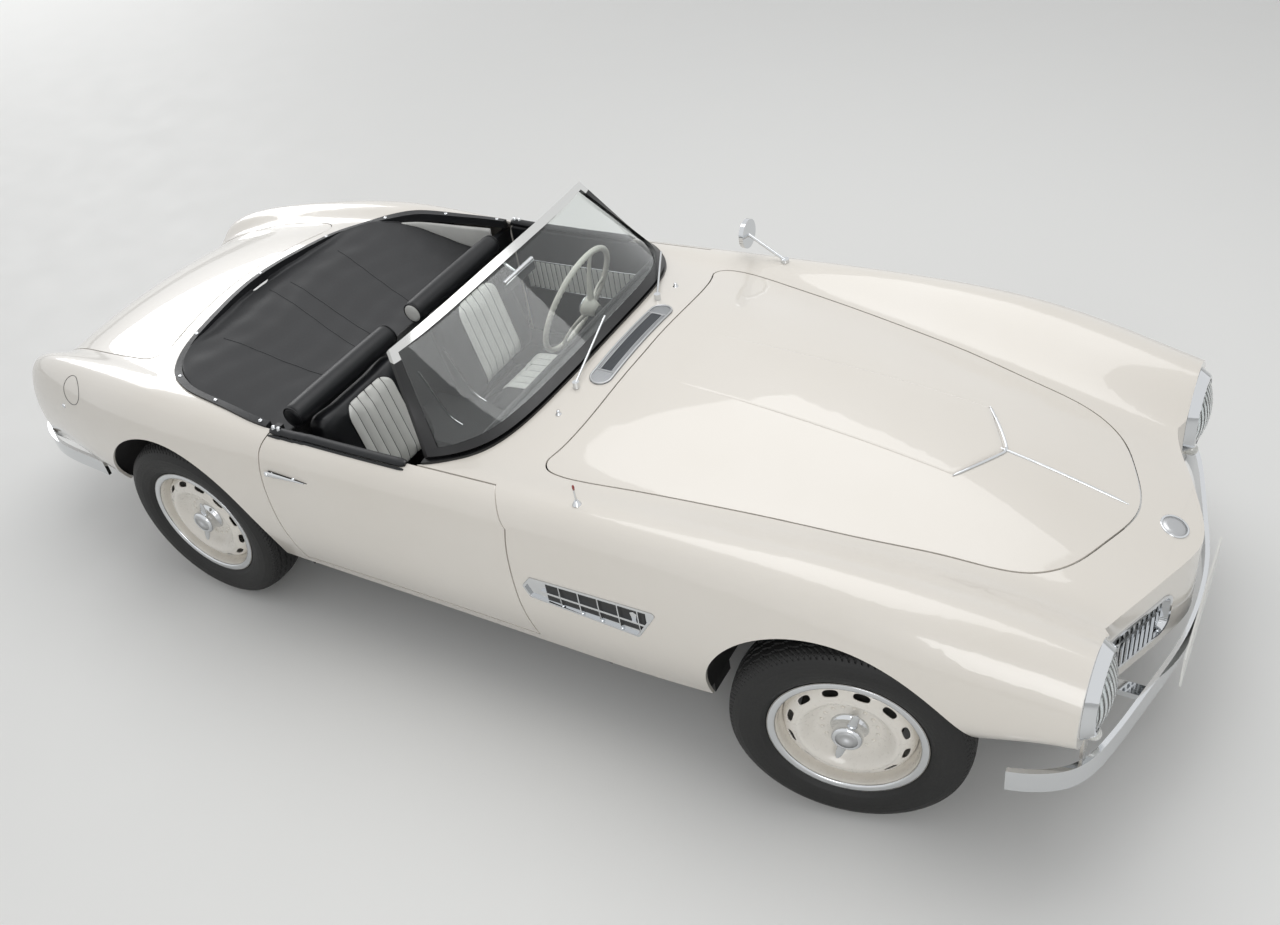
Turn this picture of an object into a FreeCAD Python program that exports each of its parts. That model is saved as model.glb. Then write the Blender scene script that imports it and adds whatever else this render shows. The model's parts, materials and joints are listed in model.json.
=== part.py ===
import os
from math import atan2, cos, degrees, hypot, radians, sin

import FreeCAD, Part

V = FreeCAD.Vector
os.makedirs("parts", exist_ok=True)

# Frame: X forward, Y to the car's left, Z up, origin on the ground at the middle of the length.
forward = V(1, 0, 0)
leftward = V(0, 1, 0)
upward = V(0, 0, 1)

# Whole car, in millimetres
car_length = 4380.0
body_half_width = 825.0
body_height = 940.0
axle_front_x = 1400.0
axle_rear_x = -1080.0
track_front = 1445.0
track_rear = 1425.0
wheel_centre_z = 343.0
steer_rest = 11.4
seam = 5.0
fit = 0.3
overrun = 60.0

# Skin: one smooth surface through the poles below, each (x, y, z) as a share of
# car_length, body_half_width and body_height, from the centreline out to the lower edge
degree = 3
skin_wall = 8.0
inner_drop = 90.0
open_end_share = 0.5
nose_end_x = 2250.0
section_fields = 2
tail_foot_shares = (
    (-0.4886, 0.000, 0.457), (-0.4886, 0.230, 0.457), (-0.4872, 0.400, 0.457), (-0.4854, 0.509, 0.457),
    (-0.4826, 0.582, 0.457), (-0.4795, 0.642, 0.457), (-0.4749, 0.693, 0.457), (-0.4685, 0.735, 0.457),
    (-0.4616, 0.766, 0.457), (-0.4557, 0.785, 0.457), (-0.4498, 0.800, 0.457),
)
tail_corner_shares = (
    (-0.4881, 0.000, 0.670), (-0.4881, 0.230, 0.664), (-0.4863, 0.424, 0.649), (-0.4849, 0.533, 0.638),
    (-0.4836, 0.594, 0.681), (-0.4804, 0.655, 0.734), (-0.4763, 0.715, 0.702), (-0.4712, 0.754, 0.638),
    (-0.4671, 0.776, 0.574), (-0.4635, 0.788, 0.511), (-0.4589, 0.800, 0.457),
)
tail_top_shares = (
    (-0.4635, 0.000, 0.750), (-0.4635, 0.230, 0.745), (-0.4635, 0.448, 0.728), (-0.4635, 0.545, 0.715),
    (-0.4635, 0.606, 0.760), (-0.4635, 0.673, 0.802), (-0.4635, 0.742, 0.777), (-0.4635, 0.788, 0.691),
    (-0.4635, 0.810, 0.596), (-0.4589, 0.815, 0.511), (-0.4543, 0.810, 0.457),
)
tail_shares = (-0.4224, (
    (0.000, 0.835), (0.230, 0.830), (0.473, 0.811), (0.582, 0.800), (0.642, 0.824), (0.715, 0.857),
    (0.794, 0.838), (0.855, 0.745), (0.878, 0.617), (0.858, 0.511), (0.815, 0.457)))
deck_shares = (-0.3425, (
    (0.000, 0.917), (0.230, 0.911), (0.485, 0.889), (0.630, 0.870), (0.697, 0.888), (0.776, 0.906),
    (0.885, 0.878), (0.958, 0.777), (0.977, 0.638), (0.964, 0.511), (0.909, 0.452)))
haunch_shares = (-0.2511, (
    (0.000, 0.963), (0.242, 0.955), (0.485, 0.936), (0.691, 0.896), (0.764, 0.917), (0.836, 0.940),
    (0.933, 0.917), (1.001, 0.814), (1.021, 0.660), (1.004, 0.479), (0.933, 0.340)))
door_rear_shares = (-0.1484, (
    (0.000, 0.984), (0.261, 0.976), (0.485, 0.949), (0.715, 0.904), (0.788, 0.904), (0.855, 0.902),
    (0.927, 0.879), (0.977, 0.782), (0.987, 0.638), (0.972, 0.457), (0.899, 0.285)))
door_shares = (-0.0342, (
    (0.000, 0.998), (0.273, 0.989), (0.485, 0.963), (0.715, 0.917), (0.788, 0.915), (0.848, 0.906),
    (0.919, 0.881), (0.970, 0.782), (0.982, 0.638), (0.970, 0.457), (0.897, 0.285)))
cowl_shares = (0.0799, (
    (0.000, 1.004), (0.279, 0.991), (0.485, 0.964), (0.715, 0.917), (0.788, 0.923), (0.848, 0.926),
    (0.921, 0.899), (0.977, 0.789), (0.987, 0.638), (0.976, 0.457), (0.901, 0.285)))
wing_shares = (0.1826, (
    (0.000, 0.976), (0.261, 0.963), (0.473, 0.932), (0.679, 0.887), (0.770, 0.913), (0.848, 0.935),
    (0.927, 0.911), (0.984, 0.796), (0.996, 0.638), (0.982, 0.457), (0.907, 0.285)))
arch_shares = (0.2740, (
    (0.000, 0.936), (0.236, 0.923), (0.424, 0.891), (0.606, 0.840), (0.715, 0.889), (0.824, 0.944),
    (0.933, 0.919), (0.999, 0.800), (1.013, 0.638), (0.996, 0.479), (0.933, 0.351)))
brow_shares = (0.3539, (
    (0.000, 0.881), (0.206, 0.867), (0.364, 0.840), (0.545, 0.785), (0.655, 0.851), (0.794, 0.926),
    (0.927, 0.899), (1.006, 0.782), (1.016, 0.638), (0.989, 0.543), (0.952, 0.479)))
lamp_rear_shares = (0.4224, (
    (0.000, 0.789), (0.200, 0.779), (0.345, 0.755), (0.509, 0.723), (0.612, 0.789), (0.754, 0.870),
    (0.875, 0.836), (0.958, 0.739), (0.972, 0.628), (0.948, 0.553), (0.912, 0.511)))
lamp_shares = (0.4680, (
    (0.000, 0.716), (0.194, 0.709), (0.333, 0.689), (0.509, 0.662), (0.594, 0.723), (0.735, 0.814),
    (0.848, 0.785), (0.915, 0.707), (0.924, 0.628), (0.879, 0.548), (0.788, 0.509)))
nose_shares = (0.5137, (
    (0.000, 0.640), (0.194, 0.634), (0.333, 0.619), (0.509, 0.596), (0.594, 0.660), (0.735, 0.762),
    (0.848, 0.734), (0.915, 0.660), (0.924, 0.596), (0.879, 0.543), (0.788, 0.509)))
section_shares = (
    tail_foot_shares, tail_corner_shares, tail_top_shares, tail_shares, deck_shares,
    haunch_shares, door_rear_shares, door_shares, cowl_shares, wing_shares,
    arch_shares, brow_shares, lamp_rear_shares, lamp_shares, nose_shares,
)

# Nose: plan outline of the front face, from the centreline outward
nose_points_shares = (
    (0.4929, 0), (0.4906, 0.078), (0.4836, 0.182), (0.4708, 0.344), (0.4603, 0.476), (0.4573, 0.533),
)
lamp_face_x = 2020.0
lamp_face_inner_y = 470.0

# Hood: plan outline from the middle of its rear edge round to the tip
hood_points_shares = (
    (0.1062, 0), (0.1056, 0.200), (0.1036, 0.420), (0.0995, 0.560), (0.0952, 0.640), (0.0936, 0.672),
    (0.0955, 0.698), (0.1070, 0.7215), (0.1247, 0.7188), (0.1539, 0.6945), (0.2096, 0.647), (0.2626, 0.601),
    (0.3135, 0.556), (0.3619, 0.5006), (0.4085, 0.434), (0.4279, 0.341), (0.4420, 0.195), (0.4527, 0),
)

# Trunk lid: plan outline from the middle of its front edge, and its lower edge on the tail
trunk_points_shares = (
    (-0.3178, 0), (-0.3160, 0.2), (-0.3110, 0.4), (-0.3075, 0.5),
)
trunk_corner_shares = ((-0.3070, 0.565), (-0.3150, 0.618))
trunk_side_shares = ((-0.3300, 0.630), (-0.3900, 0.600), (-0.4500, 0.545))
trunk_foot_z = 560.0
trunk_foot_half_width = 440.0

# Doors: side outline
door_front_x = 385.0
door_rear_x = -600.0
door_foot_z = 315.0
door_waist_z = 780.0
door_inner_y = 705.0
door_front_curve_shares = ((0.0845, 0.845), (0.0760, 0.905), (0.0600, 0.935), (0.0400, 0.955), (0.0150, 0.985))
door_rear_curve_shares = ((-0.1370, 0.84), (-0.1340, 0.885), (-0.1200, 0.955))

# Cockpit: plan outline of the opening, from the front middle round to the rear middle
cockpit_front_shares = (
    (0.0722, 0), (0.0705, 0.24), (0.0660, 0.42), (0.0590, 0.56), (0.0480, 0.68), (0.0320, 0.775),
    (0.0120, 0.838),
)
cockpit_side_shares = ((-0.0300, 0.850), (-0.1347, 0.862))
cockpit_rear_shares = (
    (-0.1505, 0.860), (-0.1820, 0.838), (-0.2155, 0.815), (-0.2340, 0.795), (-0.2520, 0.755),
    (-0.2690, 0.700), (-0.2852, 0.585), (-0.2940, 0.37), (-0.2990, 0.19), (-0.3020, 0),
)

# Wheel arches
arch_front_x = 1398.0
arch_front_z = 330.0
arch_front_radius = 400.0
arch_rear_x = -1100.0
arch_rear_z = 350.0
arch_rear_radius = 385.0
arch_inner_y = 560.0
liner_wall = 6.0
liner_gap = 22.0
liner_front_inner_y = 428.0
liner_rear_inner_y = 560.0

# Nose wall below the skin's edge, grille openings and lamp holes
apron_foot_z = 385.0
apron_top_z = 500.0
apron_half_width = 650.0
grille_inner_y = 150.0
grille_outer_y = 470.0
grille_foot_z = 425.0
grille_top_z = 572.0
grille_corner = 45.0
grille_rim = 10.0
grille_rim_stand = 5.0
grille_rim_depth = 14.0
grille_bar_count = 15
grille_bar_width = 5.0
grille_bar_recess = 14.0
grille_bar_depth = 10.0
grille_rail_height = 10.0
lamp_y = 606.0
lamp_z = 613.0
lamp_ring_radius = 133.0
lamp_bore_radius = 112.0
lamp_lens_radius = 103.0
lamp_ring_depth = 30.0
lamp_bowl_depth = 85.0
lamp_wall = 5.0
lens_bulge = 26.0
lens_thickness = 4.0
indicator_y = 612.0
indicator_z = 454.0
indicator_radius = 20.0
indicator_base_length = 34.0
indicator_lens_length = 34.0

# Bumpers: plan outlines from the middle outward
bumper_front_points_shares = (
    (0.4986, 0), (0.4950, 0.24), (0.4860, 0.455), (0.4735, 0.72), (0.4600, 0.865), (0.4430, 0.925),
    (0.4250, 0.955),
)
bumper_rear_points_shares = (
    (-0.5, 0), (-0.4985, 0.30), (-0.4900, 0.55), (-0.4720, 0.76), (-0.4450, 0.855), (-0.4100, 0.895),
    (-0.3640, 0.915),
)
bumper_wall = 12.0
bumper_front_foot_z = 345.0
bumper_front_top_z = 420.0
bumper_rear_foot_z = 400.0
bumper_rear_top_z = 465.0
bumper_bracket_y = 360.0
bumper_bracket_half = 20.0
bumper_bracket_foot_z = 356.0
bumper_bracket_top_z = 376.0
plate_thickness = 6.0
plate_half_width = 260.0
plate_foot_z = 322.0
plate_height = 110.0

# Side vents and handles
vent_points_shares = ((0.0962, 0.6275), (0.1041, 0.6745), (0.2040, 0.6925), (0.1866, 0.5615), (0.1006, 0.5830))
vent_corner = 10.0
vent_join = 2
vent_fin_count = 5
vent_wall = 4.0
handle_front_x = -400.0
handle_rear_x = -570.0
handle_z = 737.0
handle_half_height = 11.0
handle_stand = 14.0

# Windscreen
screen_top_shares = ((-0.0228, 0), (-0.0236, 0.34), (-0.0265, 0.675))
screen_top_z = 1154.0
screen_corner_z = 1147.0
screen_base_lift = 6.0
seal_rear_x = 34.0
screen_post_share = 0.027
screen_header_share = 0.07
screen_seal_share = 0.075
screen_frame_depth = 18.0
screen_glass_depth = 5.0
screen_lean_share = 0.5
mirror_centre = V(-22.0, 20.0, 1098.0)
mirror_half_width = 85.0
mirror_half_height = 24.0
mirror_depth = 14.0
mirror_stem_radius = 5.0

# Cowl
vent_cowl_front_x = 434.0
vent_cowl_rear_x = 356.0
vent_cowl_half_width = 235.0
vent_cowl_stand = 3.0
wiper_pivot_share = (0.0785, 0.3224)
wiper_left_tip_share = (0.0468, 0.6606, 0.9840)
wiper_right_tip_share = (0.0642, 0.0412, 1.0479)
wiper_radius = 3.5
wiper_boss_radius = 11.0
wing_mirror_base = V(622.0, 688.0, 869.0)
wing_mirror_head = V(482.0, 688.0, 962.0)
wing_mirror_radius = 52.0
wing_mirror_depth = 16.0
wing_mirror_stalk = 6.0
antenna_x = 600.0
antenna_y = -698.0
antenna_height = 62.0
antenna_radius = 3.0
antenna_foot_radius = 14.0
antenna_foot_height = 14.0

# Structure
floor_z = 215.0
floor_wall = 8.0
floor_front_x = 600.0
floor_rear_x = -650.0
floor_half_width = 700.0
sill_inner_y = 600.0
sill_top_z = 345.0
sill_front_x = 970.0
sill_rear_x = -685.0
post_front_x = 455.0
post_rear_x = -625.0
post_depth = 35.0
post_inner_y = 630.0
post_outer_y = 745.0
post_top_z = 800.0
tunnel_half_width = 130.0
tunnel_top_z = 400.0
bulkhead_top_z = 740.0
boot_floor_z = 330.0
boot_floor_front_x = -1408.0
axle_floor_z = 470.0
boot_floor_rear_x = -2080.0
boot_floor_half_width = 540.0
rail_inner_y = 330.0
rail_outer_y = 390.0
rail_foot_z = 165.0
rail_front_x = 1950.0
rail_rear_x = -2000.0
rail_front_step_x = 725.0
rail_step_length = 110.0
rail_front_foot_z = 213.0
rail_front_top_z = 260.0
rail_kick_front_x = -710.0
rail_kick_rear_x = -1400.0
rail_kick_length = 160.0
rail_kick_foot_z = 388.0
rail_kick_top_z = 440.0
rail_rear_foot_z = 270.0
cross_half_length = 45.0
cross_front_x = 1400.0
cross_radiator_x = 1810.0
cross_engine_x = 1050.0
cross_middle_x = 300.0
cross_rear_x = -1450.0
cross_tail_x = -1950.0
engine_front_x = 1330.0
engine_rear_x = 720.0
engine_half_width = 280.0
engine_top_z = 760.0
gearbox_rear_x = 150.0
gearbox_half_width = 100.0
gearbox_foot_z = 215.0
gearbox_top_z = 380.0
shaft_radius = 32.0
radiator_front_x = 1840.0
radiator_rear_x = 1780.0
radiator_half_width = 270.0
radiator_top_z = 630.0
tank_front_x = -1500.0
tank_rear_x = -1890.0
tank_half_width = 300.0
tank_foot_z = 225.0
pipe_y = 270.0
pipe_z = 176.0
pipe_radius = 24.0
pipe_bore = 20.0
pipe_front_x = 640.0
pipe_rear_x = -2110.0
muffler_front_x = 60.0
muffler_rear_x = -440.0
muffler_radius = 30.0
hanger_half = 8.0
hanger_front_x = 400.0
hanger_rear_x = -1700.0

# Wheels
tyre_radius = 343.0
tyre_half_width = 92.0
tyre_bead_half_width = 68.0
tyre_bead_radius = 206.0
tyre_tread_half_width = 66.0
tyre_bulge_radius = 278.0
tyre_shoulder_radius = 331.0
rim_flange_radius = 222.0
rim_flange_wall = 5.0
rim_barrel_wall = 9.0
disc_wall = 6.0
disc_rim_y = 16.0
disc_crown_y = 46.0
disc_crown_radius = 120.0
disc_hub_y = 20.0
disc_hub_radius = 78.0
slot_count = 12
slot_radius = 172.0
slot_long = 32.0
slot_short = 17.0
hub_bore_radius = 24.0
drum_radius = 142.0
drum_inner_y = -58.0
drum_outer_y = -6.0
cap_radius = 52.0
cap_height = 38.0
ear_reach = 92.0
ear_half_width = 13.0
ear_thickness = 10.0
kingpin_y = 640.0
kingpin_radius = 15.0
kingpin_foot_z = 262.0
kingpin_top_z = 468.0
spindle_radius = 23.7
plate_radius = 120.0
plate_gap = 6.0
arm_radius = 11.0
arm_spread = 120.0
arm_eye_radius = 11.0
axle_tube_radius = 38.0
axle_slot_half = 70.0
diff_radius = 120.0
trail_arm_radius = 14.7
trail_arm_y = 405.0
trail_arm_front_x = -740.0
trail_arm_z = 195.0

# Interior
wheel_grip_centre = V(-52.0, 340.0, 802.0)
column_foot = V(620.0, 340.0, 531.5)
grip_radius = 205.0
grip_tube_radius = 11.0
grip_hub_radius = 30.0
grip_hub_length = 40.0
grip_spoke_radius = 7.0
grip_dish = 55.0
column_radius = 20.0
dash_front_x = 305.0
dash_face_x = 165.0
dash_top_z = 905.0
dash_brow_z = 880.0
dash_foot_z = 690.0
dash_half_width = 640.0
seat_inner_y = 85.0
seat_outer_y = 585.0
seat_front_x = 60.0
seat_rear_x = -440.0
seat_front_z = 470.0
seat_rear_z = 430.0
seat_foot_z = 300.0
back_foot_x = -440.3
back_top_x = -545.0
back_top_z = 845.0
back_depth = 110.0
back_foot_z = 400.3
back_roll_x = -610.0
back_roll_z = 806.0
back_roll_radius = 44.0
seat_edge = 26.0
seat_runner_y = 60.0
seat_runner_width = 30.0
lever_x = 20.0
lever_height = 170.0
lever_radius = 6.0
lever_knob_radius = 19.0
cover_depth = 50.0
cover_points_shares = ((-0.1519, 0.800), (-0.1750, 0.845), (-0.2150, 0.880), (-0.2600, 0.900), (-0.3080, 0.905))
trim_width = 24.0
trim_stand = 8.0
trim_depth = 26.0

# Hinges
hood_pivot_x = 399.0
hood_pivot_drop = 21.0
hood_hook_x = 45.0
hood_hinge_y = 120.0
trunk_pivot_x = -1330.0
trunk_pivot_z = 838.0
trunk_hook_x = 62.0
trunk_hinge_y = 200.0
door_pivot_x = 440.0
door_pivot_y = 796.0
door_hinge_low_z = 530.0
door_hinge_high_z = 655.0
door_hinge_half = 16.0
door_pin_radius = 4.0
door_eye_radius = 8.0
door_arm_width = 10.0
door_arm_reach = 65.0
door_arm_root = 15.0
hinge_relief = 1.5
pin_radius = 5.0
eye_radius = 10.0
hook_inner = 46.0
hook_wall = 12.0
hook_drop = 12.0
hook_half_width = 7.0
tower_depth = 40.0
engine_corner = 30.0
liner_foot_z = 300.0
cockpit_floor_z = 300.0
hood_floor_z = 560.0
trim_low_z = 700.0
screen_base_inset = 14.0
near_end_share = 0.9
ear_wall = 5.0
hook_leg = 80.0
vent_stand = 3.0
mirror_root = V(-100.0, 20.0, 1148.0)
tail_lamp_x = -1990.0
tail_lamp_y = 560.0
tail_lamp_z = 640.0
tail_lamp_radius = 40.0
tail_lamp_stand = 12.0
grip_spoke_turns = (100.0, 190.0, 280.0)
full_turn = 360.0
quarter_turn = 90.0


def export(name, shape):
    """Write one sub-part as parts/NAME.step."""
    if shape.ShapeType == "Compound" and len(shape.Solids) == 1:
        shape = shape.Solids[0]
    shape.exportStep(f"parts/{name}.step")


def box(x0, x1, y0, y1, z0, z1):
    return Part.makeBox(x1 - x0, y1 - y0, z1 - z0, V(x0, y0, z0))


def rod(start, end, radius):
    along = end - start
    return Part.makeCylinder(radius, along.Length, start, along)


def tube(start, end, radius, bore):
    return rod(start, end, radius).cut(rod(start, end, bore))


def mirror(shape):
    """The same shape on the other side of the car."""
    return shape.mirror(V(0, 0, 0), leftward)


def both(shape):
    """A shape on the left with its mirror image on the right."""
    return Part.makeCompound([shape, mirror(shape)])


def plan_point(share):
    return V(share[0] * car_length, share[1] * body_half_width, 0)


def side_point(share):
    return V(share[0] * car_length, 0, share[1] * body_height)


def curve_through(points):
    curve = Part.BSplineCurve()
    curve.interpolate(points)
    return curve.toShape()


def plan_prism(edges, bottom, top):
    """Solid between two heights with a plan outline made of edges."""
    face = Part.Face(Part.Wire(Part.__sortEdges__(edges)))
    face.translate(V(0, 0, bottom))
    return face.extrude(V(0, 0, top - bottom))


def side_prism(edges, near, far):
    """Solid between two distances from the centre plane with a side outline made of edges."""
    face = Part.Face(Part.Wire(Part.__sortEdges__(edges)))
    face.translate(V(0, near, 0))
    return face.extrude(V(0, far - near, 0))


def flip(points):
    """Points on the other side of the centre plane, in reverse order."""
    return [V(p.x, -p.y, p.z) for p in reversed(points)]


def section_points(shares):
    """Poles of one cross section, from the centreline out to the lower edge."""
    if len(shares) == section_fields:
        station, pairs = shares
        shares = [(station, across, up) for across, up in pairs]
    return [V(x * car_length, y * body_half_width, z * body_height) for x, y, z in shares]


def skin_surface(columns):
    """Smooth surface over the car from columns of poles, each from the right lower edge to the left one."""
    rows = [list(row) for row in zip(*columns)]
    spans = (len(rows) - degree, len(columns) - degree)
    knots = [list(range(span + 1)) for span in spans]
    mults = [[degree + 1] + [1] * (span - 1) + [degree + 1] for span in spans]
    surface = Part.BSplineSurface()
    surface.buildFromPolesMultsKnots(rows, mults[0], mults[1], knots[0], knots[1], False, False, degree, degree)
    return surface


def outer_columns():
    """Full columns of poles: the left half and its mirror image."""
    halves = [section_points(shares) for shares in section_shares]
    return [flip(half[1:]) + half for half in halves]


def greville(index, count):
    """Parameter where a pole of a clamped cubic has its strongest pull."""
    spans = count - degree
    knots = [min(max(index + k - degree + 1 - 1, 0), spans) for k in range(1, degree + 1)]
    return sum(knots) / degree


def inner_columns(depth):
    """The poles moved inward by a wall's depth, with the open ends carried on past the outer ones."""
    columns = outer_columns()
    surface = skin_surface(columns)
    rows = len(columns[0])
    moved = []
    for j, column in enumerate(columns):
        v = greville(j, len(columns))
        moved.append([pole + surface.normal(greville(i, rows), v) * depth for i, pole in enumerate(column)])
    for column in moved:
        for end, beside in ((0, 1), (-1, -2)):
            column[end] += (column[end] - column[beside]) * open_end_share
    for i, pole in enumerate(moved[0]):
        pole.z = columns[0][i].z - inner_drop
    for pole in moved[-1]:
        pole.x = nose_end_x + inner_drop
    return moved


def closed_skin(columns):
    """Solid under the skin: the surface, a ruled underside and flat ends."""
    surface = skin_surface(columns)
    u0, u1, v0, v1 = surface.bounds()
    top = surface.toShape()
    right = surface.uIso(u0).toShape()
    left = surface.uIso(u1).toShape()
    tail = surface.vIso(v0).toShape()
    nose = surface.vIso(v1).toShape()
    underside = Part.makeRuledSurface(right, left)
    faces = [top, underside]
    for end in (tail, nose):
        chord = Part.makeLine(end.firstVertex().Point, end.lastVertex().Point)
        faces.append(Part.Face(Part.Wire([end, chord])))
    shell = Part.makeShell(faces)
    shell.sewShape()
    solid = Part.makeSolid(shell)
    if solid.Volume < 0:
        solid.reverse()
    return solid


def nose_prism(inset):
    """Block that ends at the car's front face, whose plan is a V between the two lamp faces."""
    outline = [plan_point(share) - V(inset, 0, 0) for share in nose_points_shares]
    lamp_inner = V(lamp_face_x - inset, lamp_face_inner_y, 0)
    lamp_outer = V(lamp_face_x - inset, body_half_width + overrun, 0)
    rear_outer = V(-car_length, body_half_width + overrun, 0)
    front = curve_through(flip(outline[1:]) + outline)
    half = [outline[-1], lamp_inner, lamp_outer, rear_outer]
    edges = [front]
    for a, b in zip(half, half[1:]):
        edges.append(Part.makeLine(a, b))
        edges.append(Part.makeLine(V(a.x, -a.y, 0), V(b.x, -b.y, 0)))
    edges.append(Part.makeLine(rear_outer, V(rear_outer.x, -rear_outer.y, 0)))
    return plan_prism(edges, -overrun, body_height + overrun)


def grown(loop, grow):
    """Points of a closed plan outline, clockwise from above, moved outward."""
    moved = []
    for i, p in enumerate(loop):
        along = loop[(i + 1) % len(loop)] - loop[i - 1]
        outward = V(-along.y, along.x, 0)
        outward.normalize()
        moved.append(p + outward * grow)
    return moved


def closed_curve(loop):
    """Smooth closed curve through points."""
    curve = Part.BSplineCurve()
    curve.interpolate(loop, PeriodicFlag=True)
    return curve.toShape()


def hood_prism(grow):
    """Block with the hood's plan outline, grown all round."""
    half = [plan_point(share) for share in hood_points_shares]
    loop = grown(half + flip(half[1:-1]), grow)
    return plan_prism([closed_curve(loop)], hood_floor_z, body_height + overrun)


def trunk_prism(grow):
    """Block with the trunk lid's outline in plan, grown all round, above its foot on the tail."""
    front = [plan_point(share) + V(grow, 0, 0) for share in trunk_points_shares]
    side = [plan_point(share) + V(0, grow, 0) for share in trunk_corner_shares + trunk_side_shares]
    half = front + side
    foot = V(-car_length, trunk_foot_half_width + grow, 0)
    outline = curve_through(flip(half[1:]) + half)
    edges = [outline]
    for sign in (1, -1):
        a = V(half[-1].x, sign * half[-1].y, 0)
        b = V(foot.x, sign * foot.y, 0)
        edges.append(Part.makeLine(a, b))
    edges.append(Part.makeLine(foot, V(foot.x, -foot.y, 0)))
    return plan_prism(edges, trunk_foot_z - grow, body_height + overrun)


def door_prism(grow):
    """Left door's block: its side outline, from its inner face outward, grown all round."""
    front = [side_point(share) + V(grow, 0, 0) for share in door_front_curve_shares]
    rear = [side_point(share) - V(grow, 0, 0) for share in door_rear_curve_shares]
    front = [V(door_front_x + grow, 0, door_waist_z)] + front
    rear = [V(door_rear_x - grow, 0, door_waist_z)] + rear
    foot = door_foot_z - grow
    top = body_height + overrun
    front_top = V(front[-1].x, 0, top)
    rear_top = V(rear[-1].x, 0, top)
    front_foot = V(front[0].x, 0, foot)
    rear_foot = V(rear[0].x, 0, foot)
    corners = [front[-1], front_top, rear_top, rear[-1]]
    edges = [Part.makeLine(a, b) for a, b in zip(corners, corners[1:])]
    corners = [front[0], front_foot, rear_foot, rear[0]]
    edges += [Part.makeLine(a, b) for a, b in zip(corners, corners[1:])]
    edges += [curve_through(front), curve_through(rear)]
    return side_prism(edges, door_inner_y - grow, body_half_width + overrun)


def cockpit_half():
    """Left half of the cockpit opening's plan outline, from the front middle to the rear middle."""
    front = [plan_point(share) for share in cockpit_front_shares]
    side = [plan_point(share) for share in cockpit_side_shares]
    rear = [plan_point(share) for share in cockpit_rear_shares]
    return front + side + rear


def cockpit_prism(inset, bottom, top):
    """Block with the cockpit's plan outline, drawn in by an inset."""
    half = cockpit_half()
    cx = (half[0].x + half[-1].x) / 2
    hx = (half[0].x - half[-1].x) / 2
    hy = max(p.y for p in half)
    half = [V(cx + (p.x - cx) * (hx - inset) / hx, p.y * (hy - inset) / hy, 0) for p in half]
    loop = half + flip(half[1:-1])
    return plan_prism([closed_curve(loop)], bottom, top)


def arch_cut(x, z, radius):
    return both(rod(V(x, arch_inner_y, z), V(x, body_half_width + overrun, z), radius))


def nose_wall(y):
    """X of the front face at a distance from the centre plane."""
    points = [plan_point(share) for share in nose_points_shares]
    for a, b in zip(points, points[1:]):
        if a.y <= y <= b.y:
            return a.x + (b.x - a.x) * (y - a.y) / (b.y - a.y)
    return points[-1].x


def rounded_box(x0, x1, y0, y1, z0, z1, radius):
    """Box along X whose four long edges are rounded."""
    block = box(x0, x1, y0, y1, z0, z1)
    edges = [e for e in block.Edges if abs(e.Vertexes[0].X - e.Vertexes[-1].X) > overrun]
    return block.makeFillet(radius, edges)


def grille_opening(inset):
    """Left opening's block through the nose wall, drawn in all round."""
    y0 = grille_inner_y + inset
    y1 = grille_outer_y - inset
    z0 = grille_foot_z + inset
    z1 = grille_top_z - inset
    return rounded_box(axle_front_x, car_length / 2, y0, y1, z0, z1, grille_corner - inset)


def grille():
    """Left grille: a bright rim round the opening, upright bars behind it and one rail across them."""
    front = nose_prism(-grille_rim_stand).cut(nose_prism(grille_rim_depth))
    rim = front.common(grille_opening(fit)).cut(grille_opening(grille_rim))
    band = nose_prism(grille_bar_recess).cut(nose_prism(grille_bar_recess + grille_bar_depth))
    pitch = (grille_outer_y - grille_inner_y) / (grille_bar_count + 1)
    x0 = axle_front_x
    x1 = car_length / 2
    half = grille_bar_width / 2
    bars = []
    for i in range(grille_bar_count):
        y = grille_inner_y + pitch * (i + 1)
        bars.append(box(x0, x1, y - half, y + half, grille_foot_z, grille_top_z))
    middle = (grille_foot_z + grille_top_z) / 2
    half = grille_rail_height / 2
    bars.append(box(x0, x1, grille_inner_y, grille_outer_y, middle - half, middle + half))
    bars = bars[0].multiFuse(bars[1:]).common(band).common(grille_opening(fit))
    deep = nose_prism(grille_rim_depth - fit).cut(nose_prism(grille_bar_recess + grille_bar_depth))
    sleeve = deep.common(grille_opening(fit)).cut(grille_opening(grille_rim))
    return rim.multiFuse([bars, sleeve])


def lamp_axis_rod(x0, x1, radius, y, z):
    return rod(V(x0, y, z), V(x1, y, z), radius)


def headlamp():
    """Left lamp: a bowl through the fender's front wall with a bright ring on it."""
    face = lamp_face_x + fit
    bowl = lamp_axis_rod(face - lamp_bowl_depth, face, lamp_bore_radius - fit, lamp_y, lamp_z)
    ring = Part.makeCone(
        lamp_ring_radius, lamp_lens_radius + lamp_wall * 2, lamp_ring_depth, V(face, lamp_y, lamp_z), forward)
    hollow = lamp_axis_rod(
        face - lamp_bowl_depth + lamp_wall, face + lamp_ring_depth, lamp_lens_radius, lamp_y, lamp_z)
    return bowl.fuse(ring).cut(hollow)


def headlamp_lens():
    """Left lamp's glass: a shallow dome that fits in the ring."""
    radius = lamp_lens_radius - fit
    ball = (radius ** 2 + lens_bulge ** 2) / (2 * lens_bulge)
    base = lamp_face_x + lamp_ring_depth - lens_thickness
    centre = V(base + lens_bulge - ball, lamp_y, lamp_z)
    dome = Part.makeSphere(ball, centre).cut(Part.makeSphere(ball - lens_thickness, centre))
    return dome.common(lamp_axis_rod(base, base + ball, radius, lamp_y, lamp_z))


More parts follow.
